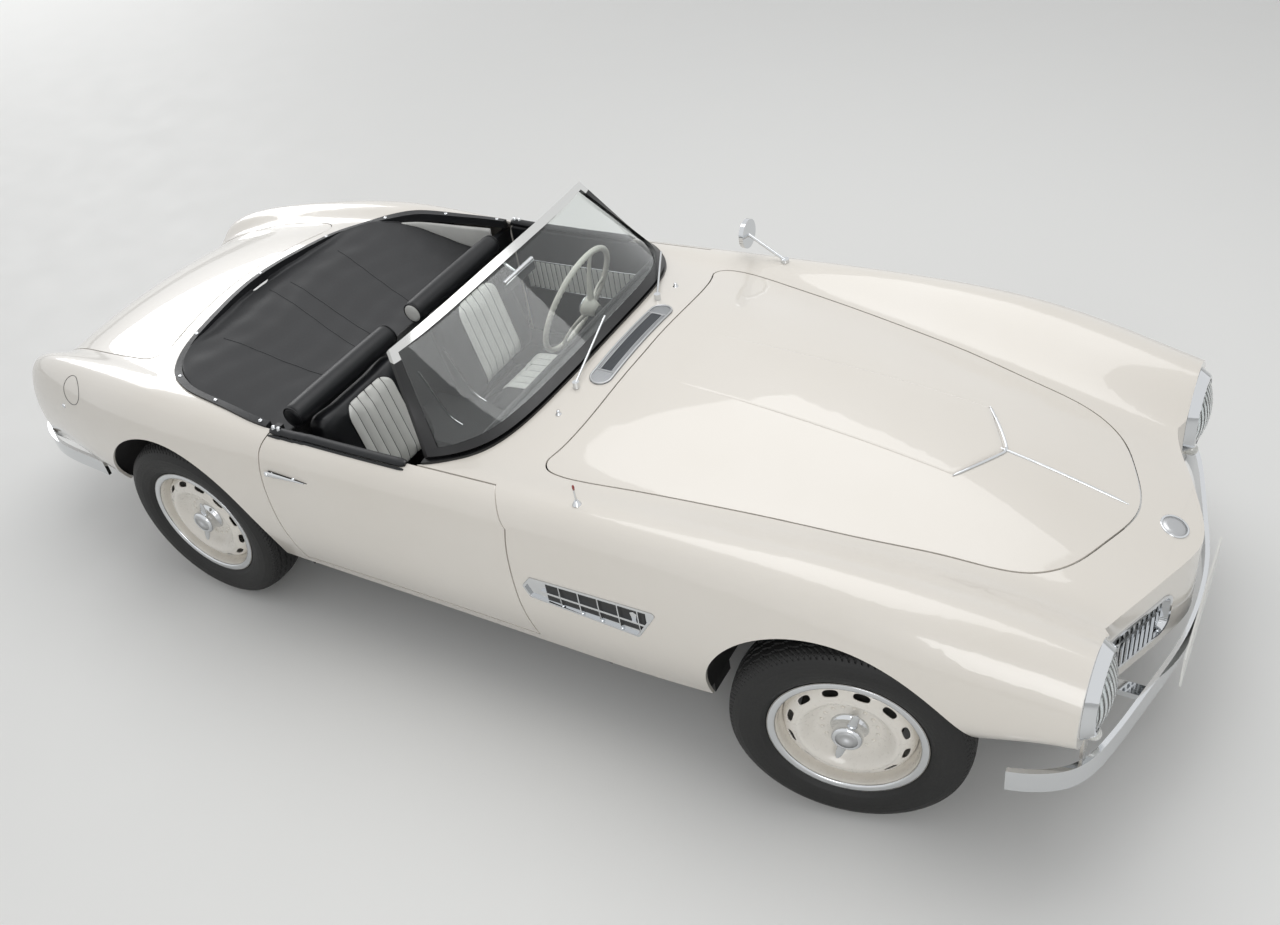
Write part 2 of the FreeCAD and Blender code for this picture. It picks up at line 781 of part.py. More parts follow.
def indicator():
    """Left marker under the headlamp: a short base with a bullet lens."""
    start = lamp_face_x + fit
    base = lamp_axis_rod(start - indicator_base_length, start, indicator_radius, indicator_y, indicator_z)
    body = lamp_axis_rod(start, start + indicator_lens_length - indicator_radius, indicator_radius,
                         indicator_y, indicator_z)
    tip = Part.makeSphere(indicator_radius, V(start + indicator_lens_length - indicator_radius,
                                              indicator_y, indicator_z))
    return base.multiFuse([body, tip])


def bumper_block(shares, inset, foot, top, back):
    """Block between a place along the car and a bumper's outline, drawn in by an inset."""
    half = [plan_point(share) for share in shares]
    long = half[0].x
    wide = half[-1].y
    near = inset if long > 0 else -inset
    half = [V(p.x * (long - near) / long, p.y * (wide - inset) / wide, 0) for p in half]
    end = half[-1]
    edges = [curve_through(flip(half[1:]) + half)]
    for sign in (1, -1):
        edges.append(Part.makeLine(V(end.x, sign * end.y, 0), V(back, sign * end.y, 0)))
    edges.append(Part.makeLine(V(back, end.y, 0), V(back, -end.y, 0)))
    return plan_prism(edges, foot, top)


def bumper(shares, foot, top, rail_x, rail_foot, rail_top, carrier_foot, carrier_top):
    """Blade that follows a plan outline, with two brackets that reach it from the frame's ends."""
    end_x = plan_point(shares[-1]).x
    blade = bumper_block(shares, 0, foot, top, end_x * near_end_share)
    blade = blade.cut(bumper_block(shares, bumper_wall, foot - overrun, top + overrun, 0))
    blade = blade.common(side_band(end_x))
    y0 = bumper_bracket_y - bumper_bracket_half
    y1 = bumper_bracket_y + bumper_bracket_half
    away = fit if rail_x > 0 else -fit
    start = rail_x + away
    step = start + (bumper_bracket_half if rail_x > 0 else -bumper_bracket_half)
    reach = car_length / 2 if rail_x > 0 else -car_length / 2
    bar = box(min(start, reach), max(start, reach), y0, y1, carrier_foot, carrier_top)
    bar = bar.common(bumper_block(shares, bumper_wall / 2, carrier_foot, carrier_top, 0))
    drop = box(min(start, step), max(start, step), y0, y1, min(rail_foot, carrier_foot), max(rail_top, carrier_top))
    bracket = bar.fuse(drop)
    return blade.multiFuse([bracket, mirror(bracket)])


def side_band(end_x):
    """Everything further from the car's middle than a place along it."""
    reach = car_length if end_x > 0 else -car_length
    return box(min(end_x, reach), max(end_x, reach), -car_length, car_length, -overrun, body_height)


def front_plate():
    """Blank plate on the front bumper."""
    x1 = car_length / 2
    x0 = bumper_front_points_shares[0][0] * car_length + fit
    return box(x0, x1, -plate_half_width, plate_half_width, plate_foot_z, plate_foot_z + plate_height)


def skin_layer(stand, depth):
    """Layer that follows the skin, from a stand above it down to a depth below it."""
    top = closed_skin(inner_columns(-stand)) if stand else closed_skin(outer_columns())
    return top.cut(closed_skin(inner_columns(depth)))


def door_handle(outer_body):
    """Left handle: a slim bar that stands on the door's skin."""
    z0 = handle_z - handle_half_height
    z1 = handle_z + handle_half_height
    bar = box(handle_rear_x, handle_front_x, door_inner_y, body_half_width + overrun, z0, z1)
    edges = [e for e in bar.Edges if abs(e.Vertexes[0].Y - e.Vertexes[-1].Y) > overrun]
    bar = bar.makeFillet(handle_half_height - fit, edges)
    stand = closed_skin(inner_columns(-handle_stand))
    return bar.common(stand).cut(closed_skin(inner_columns(-fit)))


def screen_face():
    """Ruled surface of the windscreen from its base on the cowl to its top rail."""
    front = [plan_point(share) for share in cockpit_front_shares]
    base = []
    for p in front:
        inner_p = V(p.x - screen_base_inset, p.y * (1 - screen_base_inset / body_half_width), 0)
        base.append(V(inner_p.x, inner_p.y, skin_height(inner_p.x, inner_p.y) + screen_base_lift))
    base_curve = curve_through(flip(base[1:]) + base)
    top = [plan_point(share) for share in screen_top_shares]
    heights = (screen_top_z, (screen_top_z + screen_corner_z) / 2, screen_corner_z)
    top = [V(p.x, p.y, z) for p, z in zip(top, heights)]
    top_curve = curve_through(flip(top[1:]) + top)
    return Part.makeRuledSurface(base_curve, top_curve)


def skin_height(x, y):
    """Height of the outer skin at a place in plan."""
    ray = Part.makeLine(V(x, y, body_height / 2), V(x, y, body_height * 2))
    hits = outer_top.distToShape(ray)
    return hits[1][0][0].z


def screen_strip(face, u0, u1, v0, v1, depth):
    """Part of the windscreen's surface between shares of its width and height, given a depth."""
    a0, a1, b0, b1 = face.ParameterRange
    strip = face.Surface.toShape(a0 + (a1 - a0) * u0, a0 + (a1 - a0) * u1, b0 + (b1 - b0) * v0, b0 + (b1 - b0) * v1)
    outward = V(screen_lean_share, 0, 1 - screen_lean_share)
    outward.normalize()
    return strip.extrude(outward * depth)


def windscreen(face):
    """Bright frame: two posts and the header."""
    post = screen_post_share
    left_post = screen_strip(face, 1 - post, 1, screen_seal_share, 1, screen_frame_depth)
    right_post = screen_strip(face, 0, post, screen_seal_share, 1, screen_frame_depth)
    header = screen_strip(face, post, 1 - post, 1 - screen_header_share, 1, screen_frame_depth)
    return header.multiFuse([left_post, right_post])


def windscreen_seal(face):
    """Black rubber in the front edge of the cockpit opening, with a lip up the foot of the glass."""
    ring = cockpit_prism(fit, trim_low_z, body_height + overrun)
    ring = ring.cut(cockpit_prism(trim_width, trim_low_z - overrun, body_height + overrun * 2))
    ring = ring.common(box(seal_rear_x, car_length, -car_length, car_length, 0, body_height * 2))
    lip = screen_strip(face, 0, 1, 0, screen_seal_share, screen_frame_depth)
    return skin_layer(trim_stand, skin_wall).common(ring).fuse(lip)


def wheel_disc():
    """Wheel about the Y axis, its outer side towards +Y: barrel, flanges, slotted disc, drum and cap."""
    half = tyre_bead_half_width
    out = half + rim_flange_wall
    r = tyre_bead_radius - fit
    bar = r - rim_barrel_wall
    disc_out = disc_rim_y + disc_wall
    points = [
        V(-out, bar, 0), V(-out, rim_flange_radius, 0), V(-half - fit, rim_flange_radius, 0), V(-half - fit, r, 0),
        V(half + fit, r, 0), V(half + fit, rim_flange_radius, 0), V(out, rim_flange_radius, 0), V(out, bar, 0),
        V(disc_out, bar, 0), V(disc_crown_y + disc_wall, disc_crown_radius, 0),
        V(disc_hub_y + disc_wall, disc_hub_radius, 0), V(disc_hub_y + disc_wall, hub_bore_radius, 0),
        V(drum_inner_y, hub_bore_radius, 0), V(drum_inner_y, drum_radius, 0), V(drum_outer_y, drum_radius, 0),
        V(drum_outer_y, disc_hub_radius, 0), V(disc_hub_y, disc_hub_radius, 0),
        V(disc_crown_y, disc_crown_radius, 0), V(disc_rim_y, bar, 0),
    ]
    points = [V(p.x, p.y, 0) for p in points]
    face = Part.Face(Part.makePolygon(points + points[:1]))
    wheel = face.revolve(V(0, 0, 0), forward, full_turn)
    wheel.rotate(V(0, 0, 0), upward, quarter_turn)
    slots = []
    for i in range(slot_count):
        turn = full_turn * i / slot_count
        middle = slot_radius
        span = (slot_long - slot_short)
        parts = []
        for side in (-1, 1):
            centre = V(side * span / 2, 0, middle)
            parts.append(rod(centre, centre + leftward * rim_flange_radius, slot_short / 2))
        link = box(-span / 2, span / 2, 0, rim_flange_radius, middle - slot_short / 2, middle + slot_short / 2)
        slot = parts[0].multiFuse([parts[1], link])
        slot.rotate(V(0, 0, 0), leftward, turn)
        slots.append(slot)
    wheel = wheel.cut(slots[0].multiFuse(slots[1:]))
    seat = disc_hub_y + disc_wall
    cap = rod(V(0, seat, 0), V(0, seat + cap_height, 0), cap_radius)
    ears = box(-ear_half_width, ear_half_width, seat + cap_height - ear_thickness * 2,
               seat + cap_height - ear_thickness, -ear_reach, ear_reach)
    return wheel.multiFuse([cap, ears])


def tyre_ring():
    """Tyre about the Y axis, with straight runs between its bead, bulge, shoulder and crown."""
    half = [
        V(tyre_bead_half_width, tyre_bead_radius, 0), V(tyre_bead_half_width, rim_flange_radius + fit, 0),
        V(tyre_half_width, tyre_bulge_radius, 0), V(tyre_tread_half_width, tyre_shoulder_radius, 0),
    ]
    points = half + [V(0, tyre_radius, 0)] + [V(-p.x, p.y, 0) for p in reversed(half)]
    tyre = Part.Face(Part.makePolygon(points + points[:1])).revolve(V(0, 0, 0), forward, full_turn)
    tyre.rotate(V(0, 0, 0), upward, quarter_turn)
    return tyre


def place_wheel(shape, x, track, side, steer):
    """Stand a wheel piece at its hub: side 1 is left, -1 right, steer in degrees about the kingpin."""
    piece = shape.copy() if side > 0 else mirror(shape)
    piece.translate(V(x, side * track / 2, wheel_centre_z))
    if steer:
        piece.rotate(V(x, side * kingpin_y, 0), upward, steer)
    return piece


def knuckle(side):
    """Kingpin post with its stub axle and brake plate, turned with its wheel."""
    half = track_front / 2
    hub = V(axle_front_x, kingpin_y, wheel_centre_z)
    post = rod(V(axle_front_x, kingpin_y, kingpin_foot_z), V(axle_front_x, kingpin_y, kingpin_top_z), kingpin_radius)
    plate_y = half + drum_inner_y - plate_gap
    stub = rod(hub, V(axle_front_x, half + disc_hub_y, wheel_centre_z), spindle_radius)
    plate = rod(V(axle_front_x, plate_y - plate_gap, wheel_centre_z), V(axle_front_x, plate_y, wheel_centre_z),
                plate_radius)
    piece = post.multiFuse([stub, plate])
    if side < 0:
        piece = mirror(piece)
    piece.rotate(V(axle_front_x, side * kingpin_y, 0), upward, steer_rest)
    return piece


def suspension_arm(z):
    """Left wishbone at one height: two bars from the frame to an eye at the kingpin."""
    ball = V(axle_front_x, kingpin_y, z)
    bars = []
    for sign in (1, -1):
        bars.append(rod(V(axle_front_x + sign * arm_spread, rail_outer_y - arm_radius, z), ball, arm_radius))
    eye = rod(ball - upward * arm_radius, ball + upward * arm_radius, arm_eye_radius)
    inside = box(0, car_length, 0, rail_outer_y + fit, 0, body_height)
    return eye.multiFuse(bars).cut(inside)


def front_suspension():
    """Wishbones of both front wheels."""
    low = kingpin_foot_z - arm_radius - fit
    high = kingpin_top_z + arm_radius + fit
    lower = suspension_arm(low)
    upper = suspension_arm(high)
    tower = box(axle_front_x - arm_spread - arm_radius, axle_front_x + arm_spread + arm_radius,
                rail_outer_y - tower_depth, rail_outer_y, rail_front_top_z + fit, high + arm_radius)
    return Part.makeCompound([both(lower), both(upper.fuse(tower))])


def rear_axle():
    """Tube between the rear wheels with its differential and two trailing arms."""
    y = track_rear / 2 + drum_inner_y - plate_gap
    tube_piece = rod(V(axle_rear_x, -y, wheel_centre_z), V(axle_rear_x, y, wheel_centre_z), axle_tube_radius)
    stub_y = track_rear / 2 + disc_hub_y
    stub = rod(V(axle_rear_x, -stub_y, wheel_centre_z), V(axle_rear_x, stub_y, wheel_centre_z), spindle_radius)
    pot = Part.makeSphere(diff_radius, V(axle_rear_x, 0, wheel_centre_z))
    plates = both(rod(V(axle_rear_x, y - plate_gap, wheel_centre_z), V(axle_rear_x, y, wheel_centre_z), plate_radius))
    arm = rod(V(axle_rear_x, trail_arm_y, wheel_centre_z), V(trail_arm_front_x, trail_arm_y, trail_arm_z),
              trail_arm_radius)
    shaft = rod(V(axle_rear_x, 0, wheel_centre_z), V(gearbox_rear_x + fit, 0, (gearbox_foot_z + gearbox_top_z) / 2),
                shaft_radius)
    shaft = shaft.cut(box(gearbox_rear_x - fit, axle_front_x, -overrun, overrun, 0, body_height))
    return tube_piece.multiFuse([stub, pot, arm, mirror(arm), shaft] + list(plates.Solids))


def tunnel_void():
    """Room inside the tunnel, open to the ground and at both ends."""
    inner = tunnel_half_width - floor_wall
    return box(floor_rear_x - overrun, floor_front_x + overrun, -inner, inner, 0, tunnel_top_z - floor_wall)


def floor_pan(clear):
    """Floor panels on both sides of the tunnel, each with its sill."""
    pan = box(floor_rear_x + fit, floor_front_x - fit, tunnel_half_width + fit, floor_half_width,
              floor_z, floor_z + floor_wall)
    sill = box(sill_rear_x, sill_front_x, sill_inner_y, floor_half_width, floor_z, sill_top_z)
    walls = box(floor_front_x - fit, floor_front_x + floor_wall + fit, 0, floor_half_width + fit, 0, body_height)
    walls = walls.fuse(box(floor_rear_x - floor_wall - fit, floor_rear_x + fit, 0, floor_half_width + fit, 0, body_height))
    return both(pan.fuse(sill).cut(walls).common(clear))


def tunnel():
    """Tunnel over the gearbox and the shaft, between the firewall and the rear bulkhead."""
    ridge = box(floor_rear_x + fit, floor_front_x - fit, -tunnel_half_width, tunnel_half_width,
                floor_z, tunnel_top_z)
    return ridge.cut(tunnel_void())


def wall_plate(x, top, clear):
    """Upright wall across the car, cut to the skin's inside and open round the tunnel."""
    plate = box(x, x + floor_wall, -body_half_width, body_half_width, floor_z, top)
    return plate.cut(tunnel_void()).common(clear)


def luggage_floor(clear):
    """Sheet that steps up from the luggage floor to the shelf over the rear axle."""
    half = boot_floor_half_width
    boot = box(boot_floor_rear_x, boot_floor_front_x, -half, half, boot_floor_z, boot_floor_z + floor_wall)
    step = box(boot_floor_front_x, boot_floor_front_x + floor_wall, -half, half, boot_floor_z, axle_floor_z)
    shelf = box(boot_floor_front_x, floor_rear_x - floor_wall - fit, -half, half,
                axle_floor_z, axle_floor_z + floor_wall)
    return boot.multiFuse([step, shelf]).common(clear)


def door_posts(clear):
    """Posts in front of and behind each door, with the hinges' ears on the front ones."""
    foot = sill_top_z + fit
    front = box(post_front_x, post_front_x + post_depth, post_inner_y, post_outer_y, foot, post_top_z)
    rear = box(post_rear_x - post_depth, post_rear_x, post_inner_y, post_outer_y, foot, post_top_z)
    behind = box(-car_length, floor_rear_x + fit, 0, car_length, 0, body_height)
    hinges = [door_hinge_seat(z) for z in (door_hinge_low_z, door_hinge_high_z)]
    front = front.common(clear).multiFuse([piece.common(clear) for piece in hinges])
    return Part.makeCompound([both(front), both(rear.common(clear).cut(behind))])


def chassis_frame():
    """Two side rails that drop under the floor and rise over the rear axle, with cross members."""
    top = rail_front_top_z
    low = rail_foot_z
    floor_top = floor_z - fit
    kick_front_end = rail_kick_front_x - rail_kick_length
    kick_rear_end = rail_kick_rear_x + rail_kick_length
    boot = boot_floor_z - fit
    upper = [
        (rail_front_x, top), (rail_front_step_x, top), (rail_front_step_x - rail_step_length, floor_top),
        (rail_kick_front_x, floor_top), (kick_front_end, rail_kick_top_z), (kick_rear_end, rail_kick_top_z),
        (rail_kick_rear_x, boot), (rail_rear_x, boot),
    ]
    lower = [
        (rail_rear_x, rail_rear_foot_z), (rail_kick_rear_x + rail_step_length / 3, rail_rear_foot_z),
        (kick_rear_end + rail_step_length / 3, rail_kick_foot_z), (kick_front_end - rail_step_length / 3, rail_kick_foot_z),
        (rail_kick_front_x - rail_step_length / 3, low), (rail_front_step_x - rail_step_length * 2 / 3, low),
        (rail_front_step_x + rail_step_length / 3, rail_front_foot_z), (rail_front_x, rail_front_foot_z),
    ]
    points = [V(x, rail_inner_y, z) for x, z in upper + lower]
    rail = Part.Face(Part.makePolygon(points + points[:1])).extrude(V(0, rail_outer_y - rail_inner_y, 0))
    half = cross_half_length
    spans = (
        (cross_front_x, rail_front_foot_z, top), (cross_engine_x, rail_front_foot_z, top),
        (cross_radiator_x, rail_front_foot_z, top),
        (cross_middle_x, low, floor_top), (cross_tail_x, rail_rear_foot_z, boot),
        (cross_rear_x, rail_rear_foot_z, boot),
    )
    inner = rail_inner_y - fit
    beams = [box(x - half, x + half, -inner, inner, z0, z1) for x, z0, z1 in spans]
    pipes = both(rod(V(pipe_rear_x, pipe_y, pipe_z), V(pipe_front_x, pipe_y, pipe_z), pipe_radius + seam))
    return both(rail), Part.makeCompound([beam.cut(pipes) for beam in beams])


def liner(x, z, radius, inner_y, clear):
    """Left wheel housing: an arched sheet with an inner wall, cut to the skin's inside."""
    big = radius + liner_gap
    reach = body_half_width + overrun
    arch = rod(V(x, inner_y, z), V(x, reach, z), big).cut(
        rod(V(x, inner_y + liner_wall, z), V(x, reach, z), big - liner_wall))
    arch = arch.common(box(x - big, x + big, inner_y, reach, liner_foot_z, body_height))
    return arch.common(clear)


def engine():
    """Engine block on its cross member."""
    foot = rail_front_top_z + fit
    block = box(engine_rear_x, engine_front_x, -engine_half_width, engine_half_width, foot, engine_top_z)
    return block.makeFillet(engine_corner, [e for e in block.Edges if e.BoundBox.ZMin > engine_top_z - fit])


def gearbox():
    """Gearbox behind the engine, in the tunnel's mouth."""
    return box(gearbox_rear_x, engine_rear_x - fit, -gearbox_half_width, gearbox_half_width,
               gearbox_foot_z, gearbox_top_z)


def exhaust():
    """Two pipes under the floor with a silencer on each, hung from the floor and the boot floor."""
    pipe = tube(V(pipe_rear_x, pipe_y, pipe_z), V(pipe_front_x, pipe_y, pipe_z), pipe_radius, pipe_bore)
    can = rod(V(muffler_rear_x, pipe_y, pipe_z), V(muffler_front_x, pipe_y, pipe_z), muffler_radius)
    can = can.cut(rod(V(muffler_rear_x - overrun, pipe_y, pipe_z), V(muffler_front_x + overrun, pipe_y, pipe_z),
                      pipe_bore))
    y0 = pipe_y - hanger_half
    y1 = pipe_y + hanger_half
    start = pipe_z + pipe_bore + fit
    front = box(hanger_front_x - hanger_half, hanger_front_x + hanger_half, y0, y1, start, floor_z - fit)
    rear = box(hanger_rear_x - hanger_half, hanger_rear_x + hanger_half, y0, y1, start, tank_foot_z - fit)
    return both(pipe.multiFuse([can, front, rear]))


def column(grow):
    """Steering column from the firewall to the wheel's hub, with its radius grown."""
    along = wheel_grip_centre - column_foot
    end = column_foot + along * (1 - (grip_dish + grip_hub_length / 2 + fit) / along.Length)
    ahead = box(floor_front_x - fit, car_length, 0, car_length, 0, body_height)
    return rod(column_foot, end, column_radius + grow).cut(ahead)


def steering_wheel():
    """Wheel about its column's axis: rim, hub and three spokes."""
    ring = Part.makeTorus(grip_radius, grip_tube_radius, V(0, 0, 0), upward)
    hub = rod(V(0, 0, -grip_dish - grip_hub_length), V(0, 0, -grip_dish + grip_hub_radius), grip_hub_radius)
    pieces = [hub]
    for turn in grip_spoke_turns:
        tip = V(grip_radius * cos(radians(turn)), grip_radius * sin(radians(turn)), 0)
        pieces.append(rod(V(0, 0, -grip_dish), tip, grip_spoke_radius))
    wheel = ring.multiFuse(pieces)
    along = wheel_grip_centre - column_foot
    bore = rod(V(0, 0, -grip_dish - grip_hub_length), V(0, 0, -grip_dish - grip_hub_length / 2), column_radius + fit)
    wheel = wheel.cut(bore)
    wheel.rotate(V(0, 0, 0), leftward, -degrees(atan2(-along.x, along.z)))
    wheel.translate(wheel_grip_centre)
    return wheel


def dashboard(clear):
    """Padded panel under the windscreen, cut to the skin's inside."""
    points = [
        V(dash_front_x, 0, dash_top_z), V(dash_face_x, 0, dash_brow_z), V(dash_face_x - overrun / 2, 0, dash_brow_z - overrun / 2),
        V(dash_face_x, 0, dash_foot_z), V(dash_front_x, 0, dash_foot_z),
    ]
    panel = side_prism([Part.makeLine(a, b) for a, b in zip(points, points[1:] + points[:1])],
                       -dash_half_width, dash_half_width)
    return panel.common(clear).cut(column(fit))


def side_block(points, near, far):
    """Solid between two distances from the centre plane with a straight-edged side outline."""
    points = [V(x, 0, z) for x, z in points]
    return side_prism([Part.makeLine(a, b) for a, b in zip(points, points[1:] + points[:1])], near, far)


def seat():
    """Left seat: a cushion and a raked back with a rolled top edge."""
    cushion = side_block([
        (seat_front_x, seat_foot_z), (seat_front_x, seat_front_z), (seat_rear_x, seat_rear_z),
        (seat_rear_x, seat_foot_z)], tunnel_half_width + fit, seat_outer_y)
    cushion = cushion.makeFillet(seat_edge, [e for e in cushion.Edges if e.BoundBox.ZMax > seat_foot_z + seat_edge])
    back = side_block([
        (back_foot_x, back_foot_z), (back_top_x, back_top_z), (back_top_x - back_depth, back_top_z - back_depth / 3),
        (back_foot_x - back_depth, back_foot_z)], seat_inner_y, seat_outer_y)
    back = back.makeFillet(seat_edge, [e for e in back.Edges if e.BoundBox.ZMax > back_foot_z + seat_edge])
    roll_start = V(back_roll_x, seat_inner_y, back_roll_z)
    roll = rod(roll_start, V(back_roll_x, seat_outer_y, back_roll_z), back_roll_radius)
    return Part.makeCompound([cushion, back.fuse(roll)])


def seat_runners():
    """Left seat's two runners on the floor."""
    runners = []
    for y in (tunnel_half_width + seat_runner_y, seat_outer_y - seat_runner_y - seat_runner_width):
        runners.append(box(seat_rear_x, seat_front_x, y, y + seat_runner_width,
                           floor_z + floor_wall + fit, seat_foot_z - fit))
    return Part.makeCompound(runners)


def gear_lever():
    """Lever with its knob on the tunnel."""
    foot = V(lever_x, 0, tunnel_top_z + fit)
    top = foot + upward * lever_height
    boot = Part.makeCone(lever_knob_radius * 2, lever_radius, lever_knob_radius, foot)
    return rod(foot, top, lever_radius).multiFuse([Part.makeSphere(lever_knob_radius, top), boot])


def hook(pivot, direction, y, reach):
    """Hinge arm that dips under the edge of the skin: an eye, a half ring a reach away and a leg to the panel above."""
    away = hook_inner + hook_wall
    centre = V(pivot.x + direction * reach, y - hook_half_width, pivot.z - hook_drop)
    far = centre + leftward * hook_half_width * 2
    ring = rod(centre, far, away).cut(rod(centre, far, hook_inner))
    ring = ring.common(box(centre.x - away, centre.x + away, centre.y, far.y, centre.z - away, centre.z))
    eye = rod(V(pivot.x, centre.y, pivot.z), V(pivot.x, far.y, pivot.z), eye_radius)
    x0 = centre.x + direction * hook_inner
    x1 = centre.x + direction * away
    leg = box(min(x0, x1), max(x0, x1), centre.y, far.y, centre.z, centre.z + hook_leg)
    x2 = pivot.x
    x3 = centre.x - direction * hook_inner
    link = box(min(x2, x3), max(x2, x3), centre.y, far.y, centre.z - eye_radius, pivot.z)
    return ring.multiFuse([eye, leg, link])


def vent_window(inset):
    """Left side vent's block through the fender, drawn in all round."""
    points = [side_point(share) for share in vent_points_shares]
    face = Part.Face(Part.makePolygon(points + points[:1]))
    if inset:
        face = face.makeOffset2D(-inset, join=vent_join)
    block = side_prism(face.OuterWire.Edges, door_inner_y, body_half_width + overrun)
    edges = [e for e in block.Edges if abs(e.Vertexes[0].Y - e.Vertexes[-1].Y) > overrun]
    return block.makeFillet(vent_corner - inset, edges)


def side_vent(layer):
    """Left vent: a bright rim in the fender with a rail and a row of upright fins behind it."""
    rim = layer.common(vent_window(fit)).cut(vent_window(vent_wall * 2))
    points = [side_point(share) for share in vent_points_shares]
    x0 = min(p.x for p in points)
    x1 = max(p.x for p in points)
    z0 = min(p.z for p in points)
    z1 = max(p.z for p in points)
    back = closed_skin(inner_columns(skin_wall - vent_wall)).cut(closed_skin(inner_columns(skin_wall)))
    back = back.common(vent_window(fit))
    bars = []
    pitch = (x1 - x0) / (vent_fin_count + 2)
    for i in range(vent_fin_count):
        x = x0 + pitch * (i + 2)
        bars.append(box(x, x + vent_wall, door_inner_y, body_half_width + overrun, z0, z1))
    middle_z = (z0 + z1) / 2
    bars.append(box(x0 + pitch, x1, door_inner_y, body_half_width + overrun, middle_z - vent_wall, middle_z + vent_wall))
    bars = bars[0].multiFuse(bars[1:]).common(layer).common(vent_window(fit))
    return rim.multiFuse([back, bars])


def cowl_window():
    """Block with the cowl vent's plan outline, a slot with round ends."""
    half = (vent_cowl_front_x - vent_cowl_rear_x) / 2
    middle = V((vent_cowl_front_x + vent_cowl_rear_x) / 2, vent_cowl_half_width - half, body_height / 2)
    end = rod(middle, middle + upward * body_height, half)
    bar = box(vent_cowl_rear_x, vent_cowl_front_x, -middle.y, middle.y, middle.z, middle.z + body_height)
    return bar.multiFuse([end, mirror(end)])


def wipers():
    """Two arms that lie along the foot of the glass, each on its own pivot."""
    arms = []
    pivot = plan_point(wiper_pivot_share)
    for y, share in ((pivot.y, wiper_left_tip_share), (-pivot.y, wiper_right_tip_share)):
        tip = V(share[0] * car_length, share[1] * body_half_width, share[2] * body_height)
        foot = V(pivot.x, y, skin_height(pivot.x, y) + fit)
        boss_top = foot + upward * wiper_boss_radius * 2
        boss = rod(foot, boss_top, wiper_boss_radius)
        arms.append(boss.fuse(rod(boss_top - upward * wiper_radius, tip, wiper_radius)))
    return Part.makeCompound(arms)


def interior_mirror():
    """Driver's mirror on a short stem from the windscreen header."""
    c = mirror_centre
    glass = box(c.x - mirror_depth / 2, c.x + mirror_depth / 2, c.y - mirror_half_width, c.y + mirror_half_width,
                c.z - mirror_half_height, c.z + mirror_half_height)
    glass = glass.makeFillet(mirror_depth / 3, glass.Edges)
    return glass.fuse(rod(c, mirror_root, mirror_stem_radius))


def wing_mirror():
    """Round mirror on a raked stalk on the left fender."""
    foot = V(wing_mirror_base.x, wing_mirror_base.y, skin_height(wing_mirror_base.x, wing_mirror_base.y) + fit)
    head = wing_mirror_head
    disc = rod(head - forward * (wing_mirror_depth / 2), head + forward * (wing_mirror_depth / 2), wing_mirror_radius)
    stalk = rod(foot + upward * wing_mirror_stalk, head, wing_mirror_stalk)
    base = rod(foot, foot + upward * wing_mirror_stalk * 2, antenna_foot_radius)
    return disc.multiFuse([stalk, base])


def antenna():
    """Short mast on a round foot on the right fender."""
    foot = V(antenna_x, antenna_y, skin_height(antenna_x, antenna_y) + fit)
    base = Part.makeCone(antenna_foot_radius, antenna_radius * 2, antenna_foot_height, foot)
    return base.fuse(rod(foot, foot + upward * antenna_height, antenna_radius))


def hinge_bracket(pivot, y):
    """Pin with two ears that hang from the skin beside a hinge arm."""
    gap = hook_half_width + fit
    pin = rod(V(pivot.x, y - gap - ear_wall, pivot.z), V(pivot.x, y + gap + ear_wall, pivot.z), pin_radius)
    ears = []
    for y0 in (y - gap - ear_wall, y + gap):
        plate = box(pivot.x - eye_radius, pivot.x + eye_radius, y0, y0 + ear_wall, pivot.z - eye_radius, body_height)
        ears.append(plate)
    return pin.multiFuse(ears)


def door_hinge_arm(z):
    """Left door's hinge arm at one height: an eye on the pin, a bar inward past the fender's edge and one back."""
    low = z - door_hinge_half
    high = z + door_hinge_half
    half = door_arm_width / 2
    bend_y = door_pivot_y - door_arm_reach
    pivot = V(door_pivot_x, door_pivot_y, low)
    inward = box(door_pivot_x - half, door_pivot_x + half, bend_y, door_pivot_y, low, high)
    back = box(door_front_x - door_arm_root, door_pivot_x + half, bend_y, bend_y + door_arm_width, low, high)
    eye = rod(pivot, pivot + upward * (high - low), door_eye_radius)
    return eye.multiFuse([inward, back]).cut(rod(pivot, pivot + upward * (high - low), door_pin_radius + fit))


def door_hinge_seat(z):
    """Left door post's two ears with the pin at one height."""
    foot = V(door_pivot_x, door_pivot_y, z - door_hinge_half - ear_wall)
    tall = door_hinge_half * 2 + ear_wall * 2
    parts = [rod(foot, foot + upward * tall, door_pin_radius)]
    for z0 in (z - door_hinge_half - fit - ear_wall, z + door_hinge_half + fit):
        pin = V(door_pivot_x, door_pivot_y, z0)
        parts.append(box(door_pivot_x - door_eye_radius, post_front_x + post_depth / 2,
                         post_outer_y - ear_wall * 2, door_pivot_y, z0, z0 + ear_wall))
        parts.append(rod(pin, pin + upward * ear_wall, door_eye_radius))
    return parts[0].multiFuse(parts[1:])


def door_hinge_relief(z):
    """Room for a door hinge's eye in the inside of the fender's skin."""
    reach = door_hinge_half + ear_wall + fit * 2
    foot = V(door_pivot_x, door_pivot_y, z - reach)
    return rod(foot, foot + upward * (reach * 2), door_eye_radius + hinge_relief)


def cockpit_trim():
    """Rolled black edge round the rear of the cockpit opening."""
    ring = cockpit_prism(fit, trim_low_z, body_height + overrun)
    ring = ring.cut(cockpit_prism(trim_width, trim_low_z - overrun, body_height + overrun * 2))
    ring = ring.common(box(-car_length, door_rear_x - seam, -car_length, car_length, 0, body_height * 2))
    return skin_layer(trim_stand, trim_depth).common(ring)


